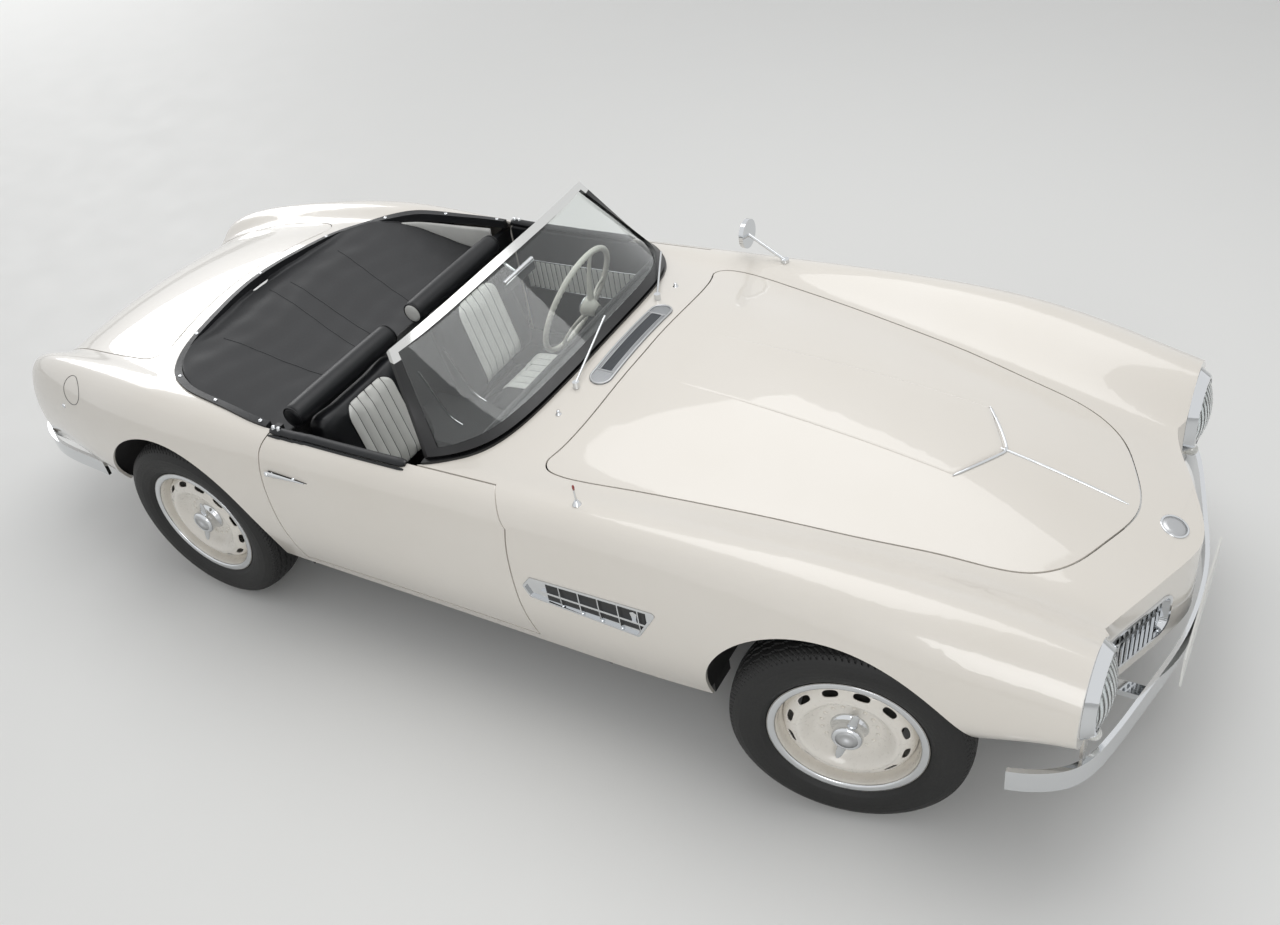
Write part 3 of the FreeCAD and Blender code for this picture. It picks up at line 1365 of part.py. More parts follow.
def rear_cover():
    """Stowed-roof cover that fills the opening behind the seats."""
    block = cockpit_prism(trim_width + fit, 0, body_height + overrun)
    top = [side_point(share) for share in cover_points_shares]
    top.append(V(-car_length / 2, 0, top[-1].z))
    points = top + [p - upward * cover_depth for p in reversed(top)]
    profile = side_prism([Part.makeLine(a, b) for a, b in zip(points, points[1:] + points[:1])],
                         -body_half_width, body_half_width)
    return block.common(profile)


outer_top = skin_surface(outer_columns()).toShape()
nose = nose_prism(0)
outer = closed_skin(outer_columns()).common(nose)
inner = closed_skin(inner_columns(skin_wall)).common(nose_prism(skin_wall))
middle = closed_skin(inner_columns(skin_wall / 2)).common(nose_prism(skin_wall / 2))
clear = closed_skin(inner_columns(skin_wall + fit)).common(nose_prism(skin_wall + fit))
roomy = closed_skin(inner_columns(skin_wall + seam + fit)).common(nose_prism(skin_wall + seam))
apron = nose.cut(nose_prism(skin_wall)).common(
    box(axle_front_x, car_length, -apron_half_width, apron_half_width, apron_foot_z, apron_top_z))
shell = outer.cut(inner).fuse(apron)

# Body shell
body = shell.cut(hood_prism(seam)).cut(trunk_prism(seam)).cut(both(door_prism(seam)))
body = body.cut(cockpit_prism(0, cockpit_floor_z, body_height + overrun))
body = body.cut(arch_cut(arch_front_x, arch_front_z, arch_front_radius))
body = body.cut(arch_cut(arch_rear_x, arch_rear_z, arch_rear_radius))
body = body.cut(both(grille_opening(0)))
body = body.cut(both(lamp_axis_rod(lamp_face_x - lamp_bowl_depth, car_length, lamp_bore_radius, lamp_y, lamp_z)))
body = body.cut(both(lamp_axis_rod(axle_front_x, car_length, indicator_radius + fit, indicator_y, indicator_z)))
layer = closed_skin(inner_columns(-vent_stand)).cut(closed_skin(inner_columns(skin_wall)))
vent = side_vent(layer)
body = body.cut(both(vent_window(-fit)))
hood_pivot = V(hood_pivot_x, 0, skin_height(hood_pivot_x, hood_hinge_y) - hood_pivot_drop)
trunk_pivot = V(trunk_pivot_x, 0, trunk_pivot_z)
for pivot, y in ((hood_pivot, hood_hinge_y), (trunk_pivot, trunk_hinge_y)):
    ears = hinge_bracket(pivot, y).common(middle)
    body = body.multiFuse([ears, mirror(ears)])
for z in (door_hinge_low_z, door_hinge_high_z):
    body = body.cut(both(door_hinge_relief(z)))
solids = sorted(body.Solids, key=lambda s: s.Volume)
body = solids[-1]
export("body_shell", body)

# Moving panels
hood = outer.cut(inner).common(hood_prism(0))
arm = hook(hood_pivot, 1, hood_hinge_y, hood_hook_x).common(middle)
arm = arm.cut(rod(hood_pivot, hood_pivot + leftward * body_half_width, pin_radius + fit))
hood = hood.multiFuse([arm, mirror(arm)])
export("hood", hood)

trunk = outer.cut(inner).common(trunk_prism(0))
arm = hook(trunk_pivot, -1, trunk_hinge_y, trunk_hook_x).common(middle)
arm = arm.cut(rod(trunk_pivot, trunk_pivot + leftward * body_half_width, pin_radius + fit))
trunk = trunk.multiFuse([arm, mirror(arm)])
export("trunk_lid", trunk)

door = outer.common(door_prism(0)).cut(cockpit_prism(0, cockpit_floor_z, body_height + overrun))
door = door.multiFuse([door_hinge_arm(z) for z in (door_hinge_low_z, door_hinge_high_z)])
export("door_left", door)
export("door_right", mirror(door))
handle = door_handle(outer)
export("door_handle_left", handle)
export("door_handle_right", mirror(handle))

# Structure
export("floor_pan", floor_pan(roomy))
export("tunnel", tunnel())
export("firewall", wall_plate(floor_front_x, body_height, roomy))
export("rear_bulkhead", wall_plate(floor_rear_x - floor_wall, bulkhead_top_z, roomy))
export("luggage_floor", luggage_floor(roomy))
export("door_posts", door_posts(clear))
rails, beams = chassis_frame()
export("chassis_rails", rails)
export("cross_members", beams)
front_liner = liner(arch_front_x, arch_front_z, arch_front_radius, liner_front_inner_y, clear)
window_half = arm_spread + tower_depth
front_liner = front_liner.cut(box(axle_front_x - window_half, axle_front_x + window_half, liner_front_inner_y,
                                  liner_front_inner_y + overrun, 0, kingpin_top_z + tower_depth))
rear_liner = liner(arch_rear_x, arch_rear_z, arch_rear_radius, liner_rear_inner_y, clear)
rear_liner = rear_liner.cut(box(axle_rear_x - axle_slot_half, axle_rear_x + axle_slot_half, liner_rear_inner_y,
                                liner_rear_inner_y + overrun, 0, wheel_centre_z + axle_slot_half))
export("wheel_housings_front", both(front_liner))
export("wheel_housings_rear", both(rear_liner))
export("engine", engine())
export("gearbox", gearbox())
export("radiator", box(radiator_rear_x, radiator_front_x, -radiator_half_width, radiator_half_width,
                       rail_front_top_z + fit, radiator_top_z))
export("fuel_tank", box(tank_rear_x, tank_front_x, -tank_half_width, tank_half_width, tank_foot_z, boot_floor_z))
export("exhaust", exhaust())
export("front_suspension", front_suspension())
export("rear_axle", rear_axle())

# Wheels
disc = wheel_disc()
tyre = tyre_ring()
corners = (
    ("front_left", axle_front_x, track_front, 1, steer_rest), ("front_right", axle_front_x, track_front, -1, steer_rest),
    ("rear_left", axle_rear_x, track_rear, 1, 0), ("rear_right", axle_rear_x, track_rear, -1, 0),
)
for name, x, track, side, steer in corners:
    export(f"wheel_{name}", place_wheel(disc, x, track, side, steer))
    export(f"tyre_{name}", place_wheel(tyre, x, track, side, steer))
export("knuckle_left", knuckle(1))
export("knuckle_right", knuckle(-1))

# Nose and tail
export("grilles", both(grille()))
export("headlamps", both(headlamp()))
export("headlamp_lenses", both(headlamp_lens()))
export("indicators", both(indicator()))
export("bumper_front", bumper(bumper_front_points_shares, bumper_front_foot_z, bumper_front_top_z, rail_front_x,
                              rail_front_foot_z, rail_front_top_z, bumper_bracket_foot_z, bumper_bracket_top_z))
rear_carrier = tail_foot_shares[0][2] * body_height - seam * 3
rear_bumper = bumper(bumper_rear_points_shares, bumper_rear_foot_z, bumper_rear_top_z, rail_rear_x,
                     rail_rear_foot_z, boot_floor_z, rear_carrier - bumper_bracket_half, rear_carrier)
export("bumper_rear", rear_bumper.cut(outer))
export("front_plate", front_plate())
tail_lamp = rod(V(tail_lamp_x, tail_lamp_y, tail_lamp_z), V(-car_length / 2, tail_lamp_y, tail_lamp_z),
                tail_lamp_radius)
tail_lamp = tail_lamp.common(closed_skin(inner_columns(-tail_lamp_stand))).cut(outer)
export("tail_lamps", both(tail_lamp))
export("side_vents", both(vent))

# Windscreen, cowl and cockpit
face = screen_face()
frame = windscreen(face)
export("windscreen_frame", frame)
glass = screen_strip(face, screen_post_share, 1 - screen_post_share, screen_seal_share, 1 - screen_header_share,
                     screen_glass_depth)
export("windscreen_glass", glass)
export("windscreen_seal", windscreen_seal(face))
export("dashboard", dashboard(clear))
export("steering_column", column(0))
export("steering_wheel", steering_wheel())
export("seat_left", seat())
export("seat_right", mirror(seat()))
export("seat_runners", both(seat_runners()))
export("gear_lever", gear_lever())
export("cockpit_trim", cockpit_trim())
export("rear_cover", rear_cover())
cowl_layer = closed_skin(inner_columns(-vent_cowl_stand)).cut(closed_skin(inner_columns(-fit)))
export("cowl_vent", cowl_layer.common(cowl_window()))
export("wipers", wipers().cut(outer))
export("interior_mirror", interior_mirror().cut(frame).cut(glass))
export("wing_mirror", wing_mirror().cut(outer))
export("antenna", antenna().cut(outer))
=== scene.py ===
# %% [markdown]
# An open roadster stands on a pale studio floor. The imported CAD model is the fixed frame: its panels,
# wheels, lamps and seats are already in their places. This file gives every panel its real finish, and
# adds what is too fine or too soft for the CAD solids: tyre tread, seat upholstery, trims and fasteners.
# %% Load the frame
import json
import math
import bmesh
import bpy
import numpy as np
from mathutils import Matrix, Vector
from mathutils.bvhtree import BVHTree

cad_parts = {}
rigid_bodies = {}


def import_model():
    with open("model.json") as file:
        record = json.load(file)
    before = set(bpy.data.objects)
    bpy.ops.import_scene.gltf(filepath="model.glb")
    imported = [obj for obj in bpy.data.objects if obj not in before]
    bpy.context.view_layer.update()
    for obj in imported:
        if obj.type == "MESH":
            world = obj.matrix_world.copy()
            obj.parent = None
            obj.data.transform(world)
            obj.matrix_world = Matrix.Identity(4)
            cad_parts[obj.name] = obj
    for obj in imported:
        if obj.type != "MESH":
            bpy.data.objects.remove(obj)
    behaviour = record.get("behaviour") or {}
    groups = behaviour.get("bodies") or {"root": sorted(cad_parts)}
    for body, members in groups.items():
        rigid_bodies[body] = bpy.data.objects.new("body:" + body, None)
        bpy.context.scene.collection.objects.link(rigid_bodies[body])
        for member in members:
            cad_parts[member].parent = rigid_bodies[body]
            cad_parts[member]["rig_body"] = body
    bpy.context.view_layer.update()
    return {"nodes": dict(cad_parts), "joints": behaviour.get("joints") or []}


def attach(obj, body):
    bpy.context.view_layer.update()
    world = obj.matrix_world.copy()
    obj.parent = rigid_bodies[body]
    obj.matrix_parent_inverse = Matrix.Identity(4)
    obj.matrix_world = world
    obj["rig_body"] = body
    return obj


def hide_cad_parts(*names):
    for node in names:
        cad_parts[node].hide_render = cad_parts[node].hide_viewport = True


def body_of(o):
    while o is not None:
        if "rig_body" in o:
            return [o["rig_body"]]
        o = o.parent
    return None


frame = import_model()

nodes = frame["nodes"]

# %% [markdown]
# The camera stands high beside the right front wheel and is rolled about ten degrees, as the photograph
# shows. Its place was solved from known sizes of the car, so the render and the photograph overlay.
# %% Camera
camera_data = bpy.data.cameras.new("studio_camera")
camera = bpy.data.objects.new("studio_camera", camera_data)
bpy.context.scene.collection.objects.link(camera)
camera_place = (2.34883, -2.7956, 3.12844)
focal_pixels, photo_width = 1250.47, 1280.0
azimuth, elevation, roll = (math.radians(a) for a in (35.69, 38.31, 10.21))
back = np.array(
    [math.sin(azimuth) * math.cos(elevation), -math.cos(azimuth) * math.cos(elevation), math.sin(elevation)])
right = np.cross(-back, [0.0, 0.0, 1.0])
right /= np.linalg.norm(right)
down = np.cross(-back, right)
turned_right = math.cos(roll) * right + math.sin(roll) * down
turned_down = -math.sin(roll) * right + math.cos(roll) * down
camera.matrix_world = Matrix((
    (turned_right[0], -turned_down[0], back[0], camera_place[0]),
    (turned_right[1], -turned_down[1], back[1], camera_place[1]),
    (turned_right[2], -turned_down[2], back[2], camera_place[2]),
    (0.0, 0.0, 0.0, 1.0),
))
camera_data.sensor_width = 36.0
camera_data.lens = focal_pixels * camera_data.sensor_width / photo_width
bpy.context.scene.camera = camera
bpy.context.scene.view_settings.view_transform = "Standard"
print("lens:", round(camera_data.lens, 2), "mm")

# %% [markdown]
# Every finish is a small network of nodes, and a few helpers keep that short. The first turns a hex
# colour into linear light, the next adds a node with its settings and links, and the next starts a
# material. The rest add what most finishes share, such as a colour that shifts and a roughness that varies.
# %% Colour and node helpers
def linear(code):
    """sRGB hex to linear RGBA: below 0.04045 divide by 12.92, above it raise (c + 0.055) / 1.055 to 2.4."""
    channels = np.array([int(code[i:i + 2], 16) for i in (1, 3, 5)]) / 255.0
    values = np.where(channels <= 0.04045, channels / 12.92, ((channels + 0.055) / 1.055) ** 2.4)
    return (*values.tolist(), 1.0)


def add(material, kind, values=None, links=None, **settings):
    """Adds one node: settings are its options, values its sockets' numbers, links what feeds it."""
    node = material.node_tree.nodes.new(kind)
    for key, value in settings.items():
        setattr(node, key, value)
    for key, value in (values or {}).items():
        node.inputs[key].default_value = value
    for key, output in (links or {}).items():
        material.node_tree.links.new(output, node.inputs[key])
    return node


def start(name, code, roughness, metallic=0.0, **sockets):
    """A material with one Principled shader; sockets name its further inputs with _ for spaces."""
    material = bpy.data.materials.new(name)
    material.use_nodes = True
    shader = material.node_tree.nodes["Principled BSDF"]
    shader.inputs["Base Color"].default_value = linear(code)
    shader.inputs["Roughness"].default_value = roughness
    shader.inputs["Metallic"].default_value = metallic
    for key, value in sockets.items():
        shader.inputs[key.replace("_", " ")].default_value = value
    place = add(material, "ShaderNodeTexCoord").outputs["Object"]
    return material, shader, place


def speckle(material, place, scale, low, high, detail=3.0):
    """Noise whose cells are 1 / scale metres, from the number low to the number high."""
    noise = add(material, "ShaderNodeTexNoise", {"Scale": scale, "Detail": detail}, {"Vector": place})
    return add(
        material, "ShaderNodeMapRange", {"To Min": low, "To Max": high},
        {"Value": noise.outputs["Fac"]}).outputs["Result"]


def worn(material, shader, place, scale, low, high):
    """Varies the roughness from low to high with noise of 1 / scale metres."""
    material.node_tree.links.new(speckle(material, place, scale, low, high), shader.inputs["Roughness"])


def rough_and_bump(material, shader, place, scale, low, high, height, strength=0.4):
    """Varies the roughness, and raises the surface by height metres, with noise of 1 / scale metres."""
    worn(material, shader, place, scale * 0.2, low, high)
    relief = add(material, "ShaderNodeTexNoise", {"Scale": scale, "Detail": 4.0}, {"Vector": place})
    bump = add(
        material, "ShaderNodeBump", {"Strength": strength, "Distance": height},
        {"Height": relief.outputs["Fac"]})
    material.node_tree.links.new(bump.outputs["Normal"], shader.inputs["Normal"])


def two_tone(material, shader, factor, dark, light):
    """Base colour mixed between two hex colours by a factor output."""
    mix = add(material, "ShaderNodeMix", {6: linear(dark), 7: linear(light)}, {0: factor}, data_type="RGBA")
    material.node_tree.links.new(mix.outputs[2], shader.inputs["Base Color"])


# %% [markdown]
# The body is steel in solid ivory cellulose paint, flatted and polished: a pigmented coat under a clear
# gloss. What the eye gets is a soft colour with sharp highlights that ripple a little, because the
# polished lacquer keeps a faint orange peel a few millimetres across.
# %% Painted finishes
ivory_paint, shader, place = start(
    "ivory_cellulose_paint", "#E6DFD2", 0.3, Coat_Weight=1.0, Coat_Roughness=0.03)
peel = add(ivory_paint, "ShaderNodeTexNoise", {"Scale": 260.0, "Detail": 1.0}, {"Vector": place})
bump = add(
    ivory_paint, "ShaderNodeBump", {"Strength": 0.06, "Distance": 0.0002}, {"Height": peel.outputs["Fac"]})
ivory_paint.node_tree.links.new(bump.outputs["Normal"], shader.inputs["Coat Normal"])
two_tone(ivory_paint, shader, speckle(ivory_paint, place, 3.0, 0.0, 1.0), "#DFD9CF", "#E5E0D8")

wheel_paint, shader, place = start(
    "ivory_wheel_enamel", "#E6E1D8", 0.28, Coat_Weight=0.7, Coat_Roughness=0.05)
two_tone(wheel_paint, shader, speckle(wheel_paint, place, 30.0, 0.0, 1.0), "#E0DBD2", "#E8E4DC")
rough_and_bump(wheel_paint, shader, place, 500.0, 0.22, 0.36, 0.0002, 0.15)

chassis_paint, shader, place = start("black_chassis_enamel", "#161616", 0.5)
rough_and_bump(chassis_paint, shader, place, 120.0, 0.4, 0.62, 0.0008)

cast_metal, shader, place = start("sand_cast_metal", "#6B6A67", 0.6, metallic=0.85)
rough_and_bump(cast_metal, shader, place, 260.0, 0.5, 0.75, 0.0009, 0.6)

pipe_steel, shader, place = start("heat_dulled_steel", "#7A736B", 0.45, metallic=1.0)
two_tone(pipe_steel, shader, speckle(pipe_steel, place, 9.0, 0.0, 1.0), "#5B5049", "#8B857D")
print("painted finishes ready")

# %% [markdown]
# Bright parts are brass or steel with a polished chrome plate: a mirror with very faint polishing
# waviness. The cowl intake and the bare discs are aluminium, which is softer and greyer. The intake is
# covered by woven wire.
# %% Bright finishes
chrome, shader, place = start("polished_chrome_plate", "#D9DBDD", 0.06, metallic=1.0)
worn(chrome, shader, place, 40.0, 0.03, 0.1)

aluminium, shader, place = start("brushed_aluminium", "#B9BABB", 0.34, metallic=1.0)
stretched = add(aluminium, "ShaderNodeMapping", {"Scale": (1.0, 14.0, 14.0)}, {"Vector": place})
grain = add(
    aluminium, "ShaderNodeTexNoise", {"Scale": 90.0, "Detail": 3.0}, {"Vector": stretched.outputs["Vector"]})
streak = add(
    aluminium, "ShaderNodeMapRange", {"To Min": 0.26, "To Max": 0.44}, {"Value": grain.outputs["Fac"]})
aluminium.node_tree.links.new(streak.outputs["Result"], shader.inputs["Roughness"])


def woven_with_shaded_gaps(name, code, roughness, metallic, dark, light):
    """Wire gauze: two crossed waves, with a wire every 6 mm; the gaps take the dark colour, painted shade of the
    hollow behind.
    """
    material, shader, place = start(name, code, roughness, metallic)
    warp, weft = (
        add(material, "ShaderNodeTexWave", {"Scale": 52.0}, {"Vector": place}, bands_direction=way)
        for way in "XY")
    cell = add(
        material, "ShaderNodeMath", None, {0: warp.outputs["Fac"], 1: weft.outputs["Fac"]},
        operation="MAXIMUM")
    # The wires take the light colour; the gaps between them are painted shade of the hollow behind the gauze.
    two_tone(material, shader, cell.outputs[0], dark, light)
    return material, shader, cell.outputs[0]


mesh_metal, shader, weave = woven_with_shaded_gaps("woven_wire_mesh", "#8F9092", 0.35, 1.0, "#141414", "#B4B6B8")
bump = add(mesh_metal, "ShaderNodeBump", {"Strength": 0.7, "Distance": 0.0012}, {"Height": weave})
mesh_metal.node_tree.links.new(bump.outputs["Normal"], shader.inputs["Normal"])

# Over the intake's opening the same gauze is drawn with darker wires and black gaps: painted shade of the duct
# behind it
gauze_with_painted_duct_shade = woven_with_shaded_gaps("wire_mesh_with_painted_duct_shade", "#2A2B2D", 0.4, 0.8, "#050505", "#55585C")[0]
print("bright finishes ready")

# %% [markdown]
# The cabin is trimmed in smooth hide: black on the borders, dash and door tops, white on the pleated
# faces. Hide shows fine creases between pores a millimetre or two apart. The cover behind the seats is
# a coated cloth, and the floor has loop carpet.
# %% Trim finishes
def hide(name, dark, light, roughness):
    """Finished leather: cells 1.6 mm across pressed in as a fine bump, and a colour that shifts over 60 mm."""
    material, shader, place = start(name, light, roughness, Specular_IOR_Level=0.4)
    two_tone(material, shader, speckle(material, place, 16.0, 0.0, 1.0), dark, light)
    cells = add(
        material, "ShaderNodeTexVoronoi", {"Scale": 620.0}, {"Vector": place}, feature="DISTANCE_TO_EDGE")
    bump = add(
        material, "ShaderNodeBump", {"Strength": 0.35, "Distance": 0.0004},
        {"Height": cells.outputs["Distance"]})
    material.node_tree.links.new(bump.outputs["Normal"], shader.inputs["Normal"])
    worn(material, shader, place, 60.0, roughness - 0.06, roughness + 0.08)
    return material


black_hide = hide("black_hide", "#101113", "#1B1C1F", 0.42)
white_hide = hide("white_hide", "#CFCFCB", "#E2E2DE", 0.45)

coated_cloth, shader, place = start("black_coated_cloth", "#17181A", 0.5, Sheen_Weight=0.15)
two_tone(coated_cloth, shader, speckle(coated_cloth, place, 7.0, 0.0, 1.0), "#121315", "#1F2023")
rough_and_bump(coated_cloth, shader, place, 700.0, 0.42, 0.6, 0.0003, 0.3)

carpet, shader, place = start("black_loop_carpet", "#1A1A1B", 0.95, Sheen_Weight=0.4)
pile_height_and_shade = add(carpet, "ShaderNodeTexVoronoi", {"Scale": 330.0}, {"Vector": place})
bump = add(
    carpet, "ShaderNodeBump", {"Strength": 0.9, "Distance": 0.002}, {"Height": pile_height_and_shade.outputs["Distance"]})
carpet.node_tree.links.new(bump.outputs["Normal"], shader.inputs["Normal"])
# The pile's low spots are drawn darker than its loop tops: painted shade in the pits of the pile.
two_tone(carpet, shader, pile_height_and_shade.outputs["Distance"], "#0F0F10", "#2A2A2B")

ivory_plastic, shader, place = start("ivory_moulded_plastic", "#EEEAE0", 0.22, Coat_Weight=0.5)
worn(ivory_plastic, shader, place, 35.0, 0.17, 0.3)
print("trim finishes ready")

# %% [markdown]
# Rubber is matt and slightly grey with dust. Glass is clear and thin, so it mostly shows what is behind
# it and a sharp reflection. The tail lenses are red acrylic, and the plate is bare white enamel.
# %% Rubber, glass and lenses
tyre_rubber, shader, place = start("cured_tyre_rubber", "#111111", 0.6)
two_tone(tyre_rubber, shader, speckle(tyre_rubber, place, 14.0, 0.0, 1.0), "#0C0C0C", "#181817")
rough_and_bump(tyre_rubber, shader, place, 900.0, 0.48, 0.7, 0.0004)

seal_rubber, shader, place = start("black_extruded_rubber", "#101011", 0.3)
worn(seal_rubber, shader, place, 50.0, 0.22, 0.4)

clear_glass, shader, place = start(
    "clear_plate_glass", "#F2F6F4", 0.0, Transmission_Weight=1.0, Specular_IOR_Level=0.3)
worn(clear_glass, shader, place, 5.0, 0.0, 0.012)

# The screen posts are clad in black rubber up to the header rail, which is polished
screen_trim, shader, place = start("rubber_posts_and_chrome_header", "#D9D9D7", 0.12, 1.0)
height = add(screen_trim, "ShaderNodeSeparateXYZ", links={"Vector": place}).outputs["Z"]
header = add(
    screen_trim, "ShaderNodeMapRange", {"From Min": 1.121, "From Max": 1.122},
    {"Value": height}).outputs["Result"]
two_tone(screen_trim, shader, header, "#101011", "#D9D9D7")
screen_trim.node_tree.links.new(header, shader.inputs["Metallic"])
sheen = add(
    screen_trim, "ShaderNodeMapRange",
    {"From Min": 1.121, "From Max": 1.122, "To Min": 0.36, "To Max": 0.12}, {"Value": height})
screen_trim.node_tree.links.new(sheen.outputs["Result"], shader.inputs["Roughness"])

# The headlamp glass is pressed with upright flutes 18 mm apart, which spread the beam
fluted_glass, shader, place = start("fluted_lamp_glass", "#F4F7F6", 0.02, Transmission_Weight=1.0)
flutes = add(
    fluted_glass, "ShaderNodeTexWave", {"Scale": 17.5}, {"Vector": place}, bands_direction="Y",
    wave_profile="SIN")
bump = add(
    fluted_glass, "ShaderNodeBump", {"Strength": 0.5, "Distance": 0.002}, {"Height": flutes.outputs["Fac"]})
fluted_glass.node_tree.links.new(bump.outputs["Normal"], shader.inputs["Normal"])

red_lens, shader, place = start(
    "red_acrylic_lens", "#9C0E0A", 0.12, Coat_Weight=1.0, Transmission_Weight=0.25)
rings = add(red_lens, "ShaderNodeTexWave", {"Scale": 40.0}, {"Vector": place}, bands_direction="Z")
bump = add(red_lens, "ShaderNodeBump", {"Strength": 0.4, "Distance": 0.001}, {"Height": rings.outputs["Fac"]})
red_lens.node_tree.links.new(bump.outputs["Normal"], shader.inputs["Normal"])

white_lens, shader, place = start(
    "white_acrylic_lens", "#E9E9E4", 0.15, Coat_Weight=1.0, Transmission_Weight=0.2)
worn(white_lens, shader, place, 80.0, 0.1, 0.22)

plate_enamel, shader, place = start("white_plate_enamel", "#E8E8E4", 0.35)
rough_and_bump(plate_enamel, shader, place, 300.0, 0.28, 0.42, 0.0001, 0.2)

mirror_silver, shader, place = start("silvered_mirror_glass", "#E4E7E8", 0.02, metallic=1.0)
worn(mirror_silver, shader, place, 30.0, 0.01, 0.04)
print("rubber, glass and lens finishes ready")

# %% [markdown]
# Most CAD nodes already have the right shape, so they stay and only get a finish. The list says which
# finish the real piece has.
# %% Finishes of the CAD nodes
finish_of = {}
for finish, names in (
        (ivory_paint, "body_shell hood trunk_lid door_left door_right"),
        (
            chassis_paint,
            "floor_pan chassis_rails cross_members seat_runners wheel_housings_front wheel_housings_rear"),
        (chassis_paint, "front_suspension rear_axle fuel_tank radiator steering_column"),
        (carpet, "tunnel firewall rear_bulkhead luggage_floor"),
        (black_hide, "door_posts dashboard cockpit_trim seat_left seat_right"),
        (cast_metal, "knuckle_left knuckle_right engine gearbox"),
        (wheel_paint, "wheel_front_left wheel_front_right wheel_rear_left wheel_rear_right"),
        (tyre_rubber, "tyre_front_left tyre_front_right tyre_rear_left tyre_rear_right"),
        (chrome, "bumper_front bumper_rear door_handle_left door_handle_right grilles headlamps side_vents"),
        (chrome, "interior_mirror wing_mirror wipers antenna gear_lever"),
        (pipe_steel, "exhaust"), (fluted_glass, "headlamp_lenses"), (white_lens, "indicators"),
        (red_lens, "tail_lamps"), (screen_trim, "windscreen_frame"), (clear_glass, "windscreen_glass"),
        (seal_rubber, "windscreen_seal"), (ivory_plastic, "steering_wheel"), (coated_cloth, "rear_cover"),
        (mesh_metal, "cowl_vent"), (plate_enamel, "front_plate")):
    for name in names.split():
        finish_of[name] = finish
for name, node in nodes.items():
    node.data.materials.clear()
    node.data.materials.append(finish_of[name])
print("finishes given to", len(finish_of), "nodes")

# %% [markdown]
# New pieces are surfaces worked out as whole arrays. A shape is a grid of points in two directions,
# either a formula of two numbers, or a profile carried along a path. One helper makes the mesh, and
# closes the grid in either direction, so a ring is closed both ways and a tube has its ends capped.
# %% Surface helpers
both_sides = (("left", 1.0), ("right", -1.0))


def whole_turn(count):
    """Angles evenly round a circle, without the last one, which would repeat the first."""
    return np.linspace(0, 2 * np.pi, count, endpoint=False)


def tapered(count, run, least):
    """Sizes along a path: from least at each end up to 1 within about run points."""
    return np.clip(np.minimum(np.arange(count), np.arange(count)[::-1]) / run + least, 0.0, 1.0)


def points_of(mesh):
    """A mesh's points as an array of rows."""
    places = np.zeros(len(mesh.vertices) * 3)
    mesh.vertices.foreach_get("co", places)
    return places.reshape(-1, 3)


def body_name(piece):
    """The body that a piece rides on."""
    body = body_of(piece)
    return body if isinstance(body, str) else body[0]


def make_piece(name, vertices, faces, finish, body="chassis", smooth=True):
    """A mesh piece in the car's frame, in metres, that rides on a body."""
    mesh = bpy.data.meshes.new(name)
    mesh.from_pydata(np.asarray(vertices, float).reshape(-1, 3).tolist(), [], faces)
    mesh.polygons.foreach_set("use_smooth", np.full(len(mesh.polygons), smooth))
    mesh.materials.append(finish)
    piece = bpy.data.objects.new(name, mesh)
    bpy.context.scene.collection.objects.link(piece)
    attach(piece, body)
    return piece


def grid_faces(rows, columns, ring_rows=False, ring_columns=False, start_at=0):
    """Quads of a grid of rows by columns points; a ring joins the last to the first."""
    r = np.arange(rows if ring_rows else rows - 1)
    c = np.arange(columns if ring_columns else columns - 1)
    i, j = np.meshgrid(r, c, indexing="ij")
    i2, j2 = (i + 1) % rows, (j + 1) % columns
    quads = np.stack([i * columns + j, i2 * columns + j, i2 * columns + j2, i * columns + j2], -1)
    return (quads.reshape(-1, 4) + start_at).tolist()


def surface(
    name, points, finish, body="chassis", ring_rows=False, ring_columns=False, caps=False, smooth=True):
    """A piece from a grid of points; caps closes both ends of a tube whose columns are a ring."""
    rows, columns = points.shape[:2]
    faces = grid_faces(rows, columns, ring_rows, ring_columns)
    if caps:
        faces.append(list(range(columns))[::-1])
        faces.append([(rows - 1) * columns + k for k in range(columns)])
    piece = make_piece(name, points, faces, finish, body, smooth)
    face_outward(piece)
    return piece


def face_outward(piece):
    """Turns the faces of a closed mesh outward: its signed volume must be positive."""
    mesh = piece.data
    mesh.calc_loop_triangles()
    corners = np.zeros(len(mesh.loop_triangles) * 3, int)
    mesh.loop_triangles.foreach_get("vertices", corners)
    places = points_of(mesh)
    places = places - places.mean(0)
    a, b, c = places[corners.reshape(-1, 3)].transpose(1, 0, 2)
    if np.einsum("ij,ij->i", a, np.cross(b, c)).sum() < 0:
        mesh.flip_normals()


def along(path, closed=False):
    """Unit direction of a path of points at each point, from its neighbours."""
    path = np.asarray(path, float)
    if closed:
        run = np.roll(path, -1, 0) - np.roll(path, 1, 0)
    else:
        run = np.gradient(path, axis=0)
    return run / np.linalg.norm(run, axis=1, keepdims=True)


def smooth_path(points, count, closed=False):
    """A Catmull-Rom curve through the points: each span is a cubic from its four nearest points."""
    points = np.asarray(points, float)
    if closed:
        padded = np.vstack([points[-1:], points, points[:2]])
        spans = len(points)
    else:
        padded = np.vstack([2 * points[:1] - points[1:2], points, 2 * points[-1:] - points[-2:-1]])
        spans = len(points) - 1
    t = np.linspace(0, spans, count, endpoint=not closed)
    k = np.minimum(t.astype(int), spans - 1)
    f = (t - k)[:, None]
    p0, p1, p2, p3 = (padded[k + i] for i in range(4))
    return 0.5 * (
        2 * p1 + (p2 - p0) * f + (2 * p0 - 5 * p1 + 4 * p2 - p3) * f ** 2 + (3 * p1 - p0 - 3 * p2 + p3)
        * f ** 3)


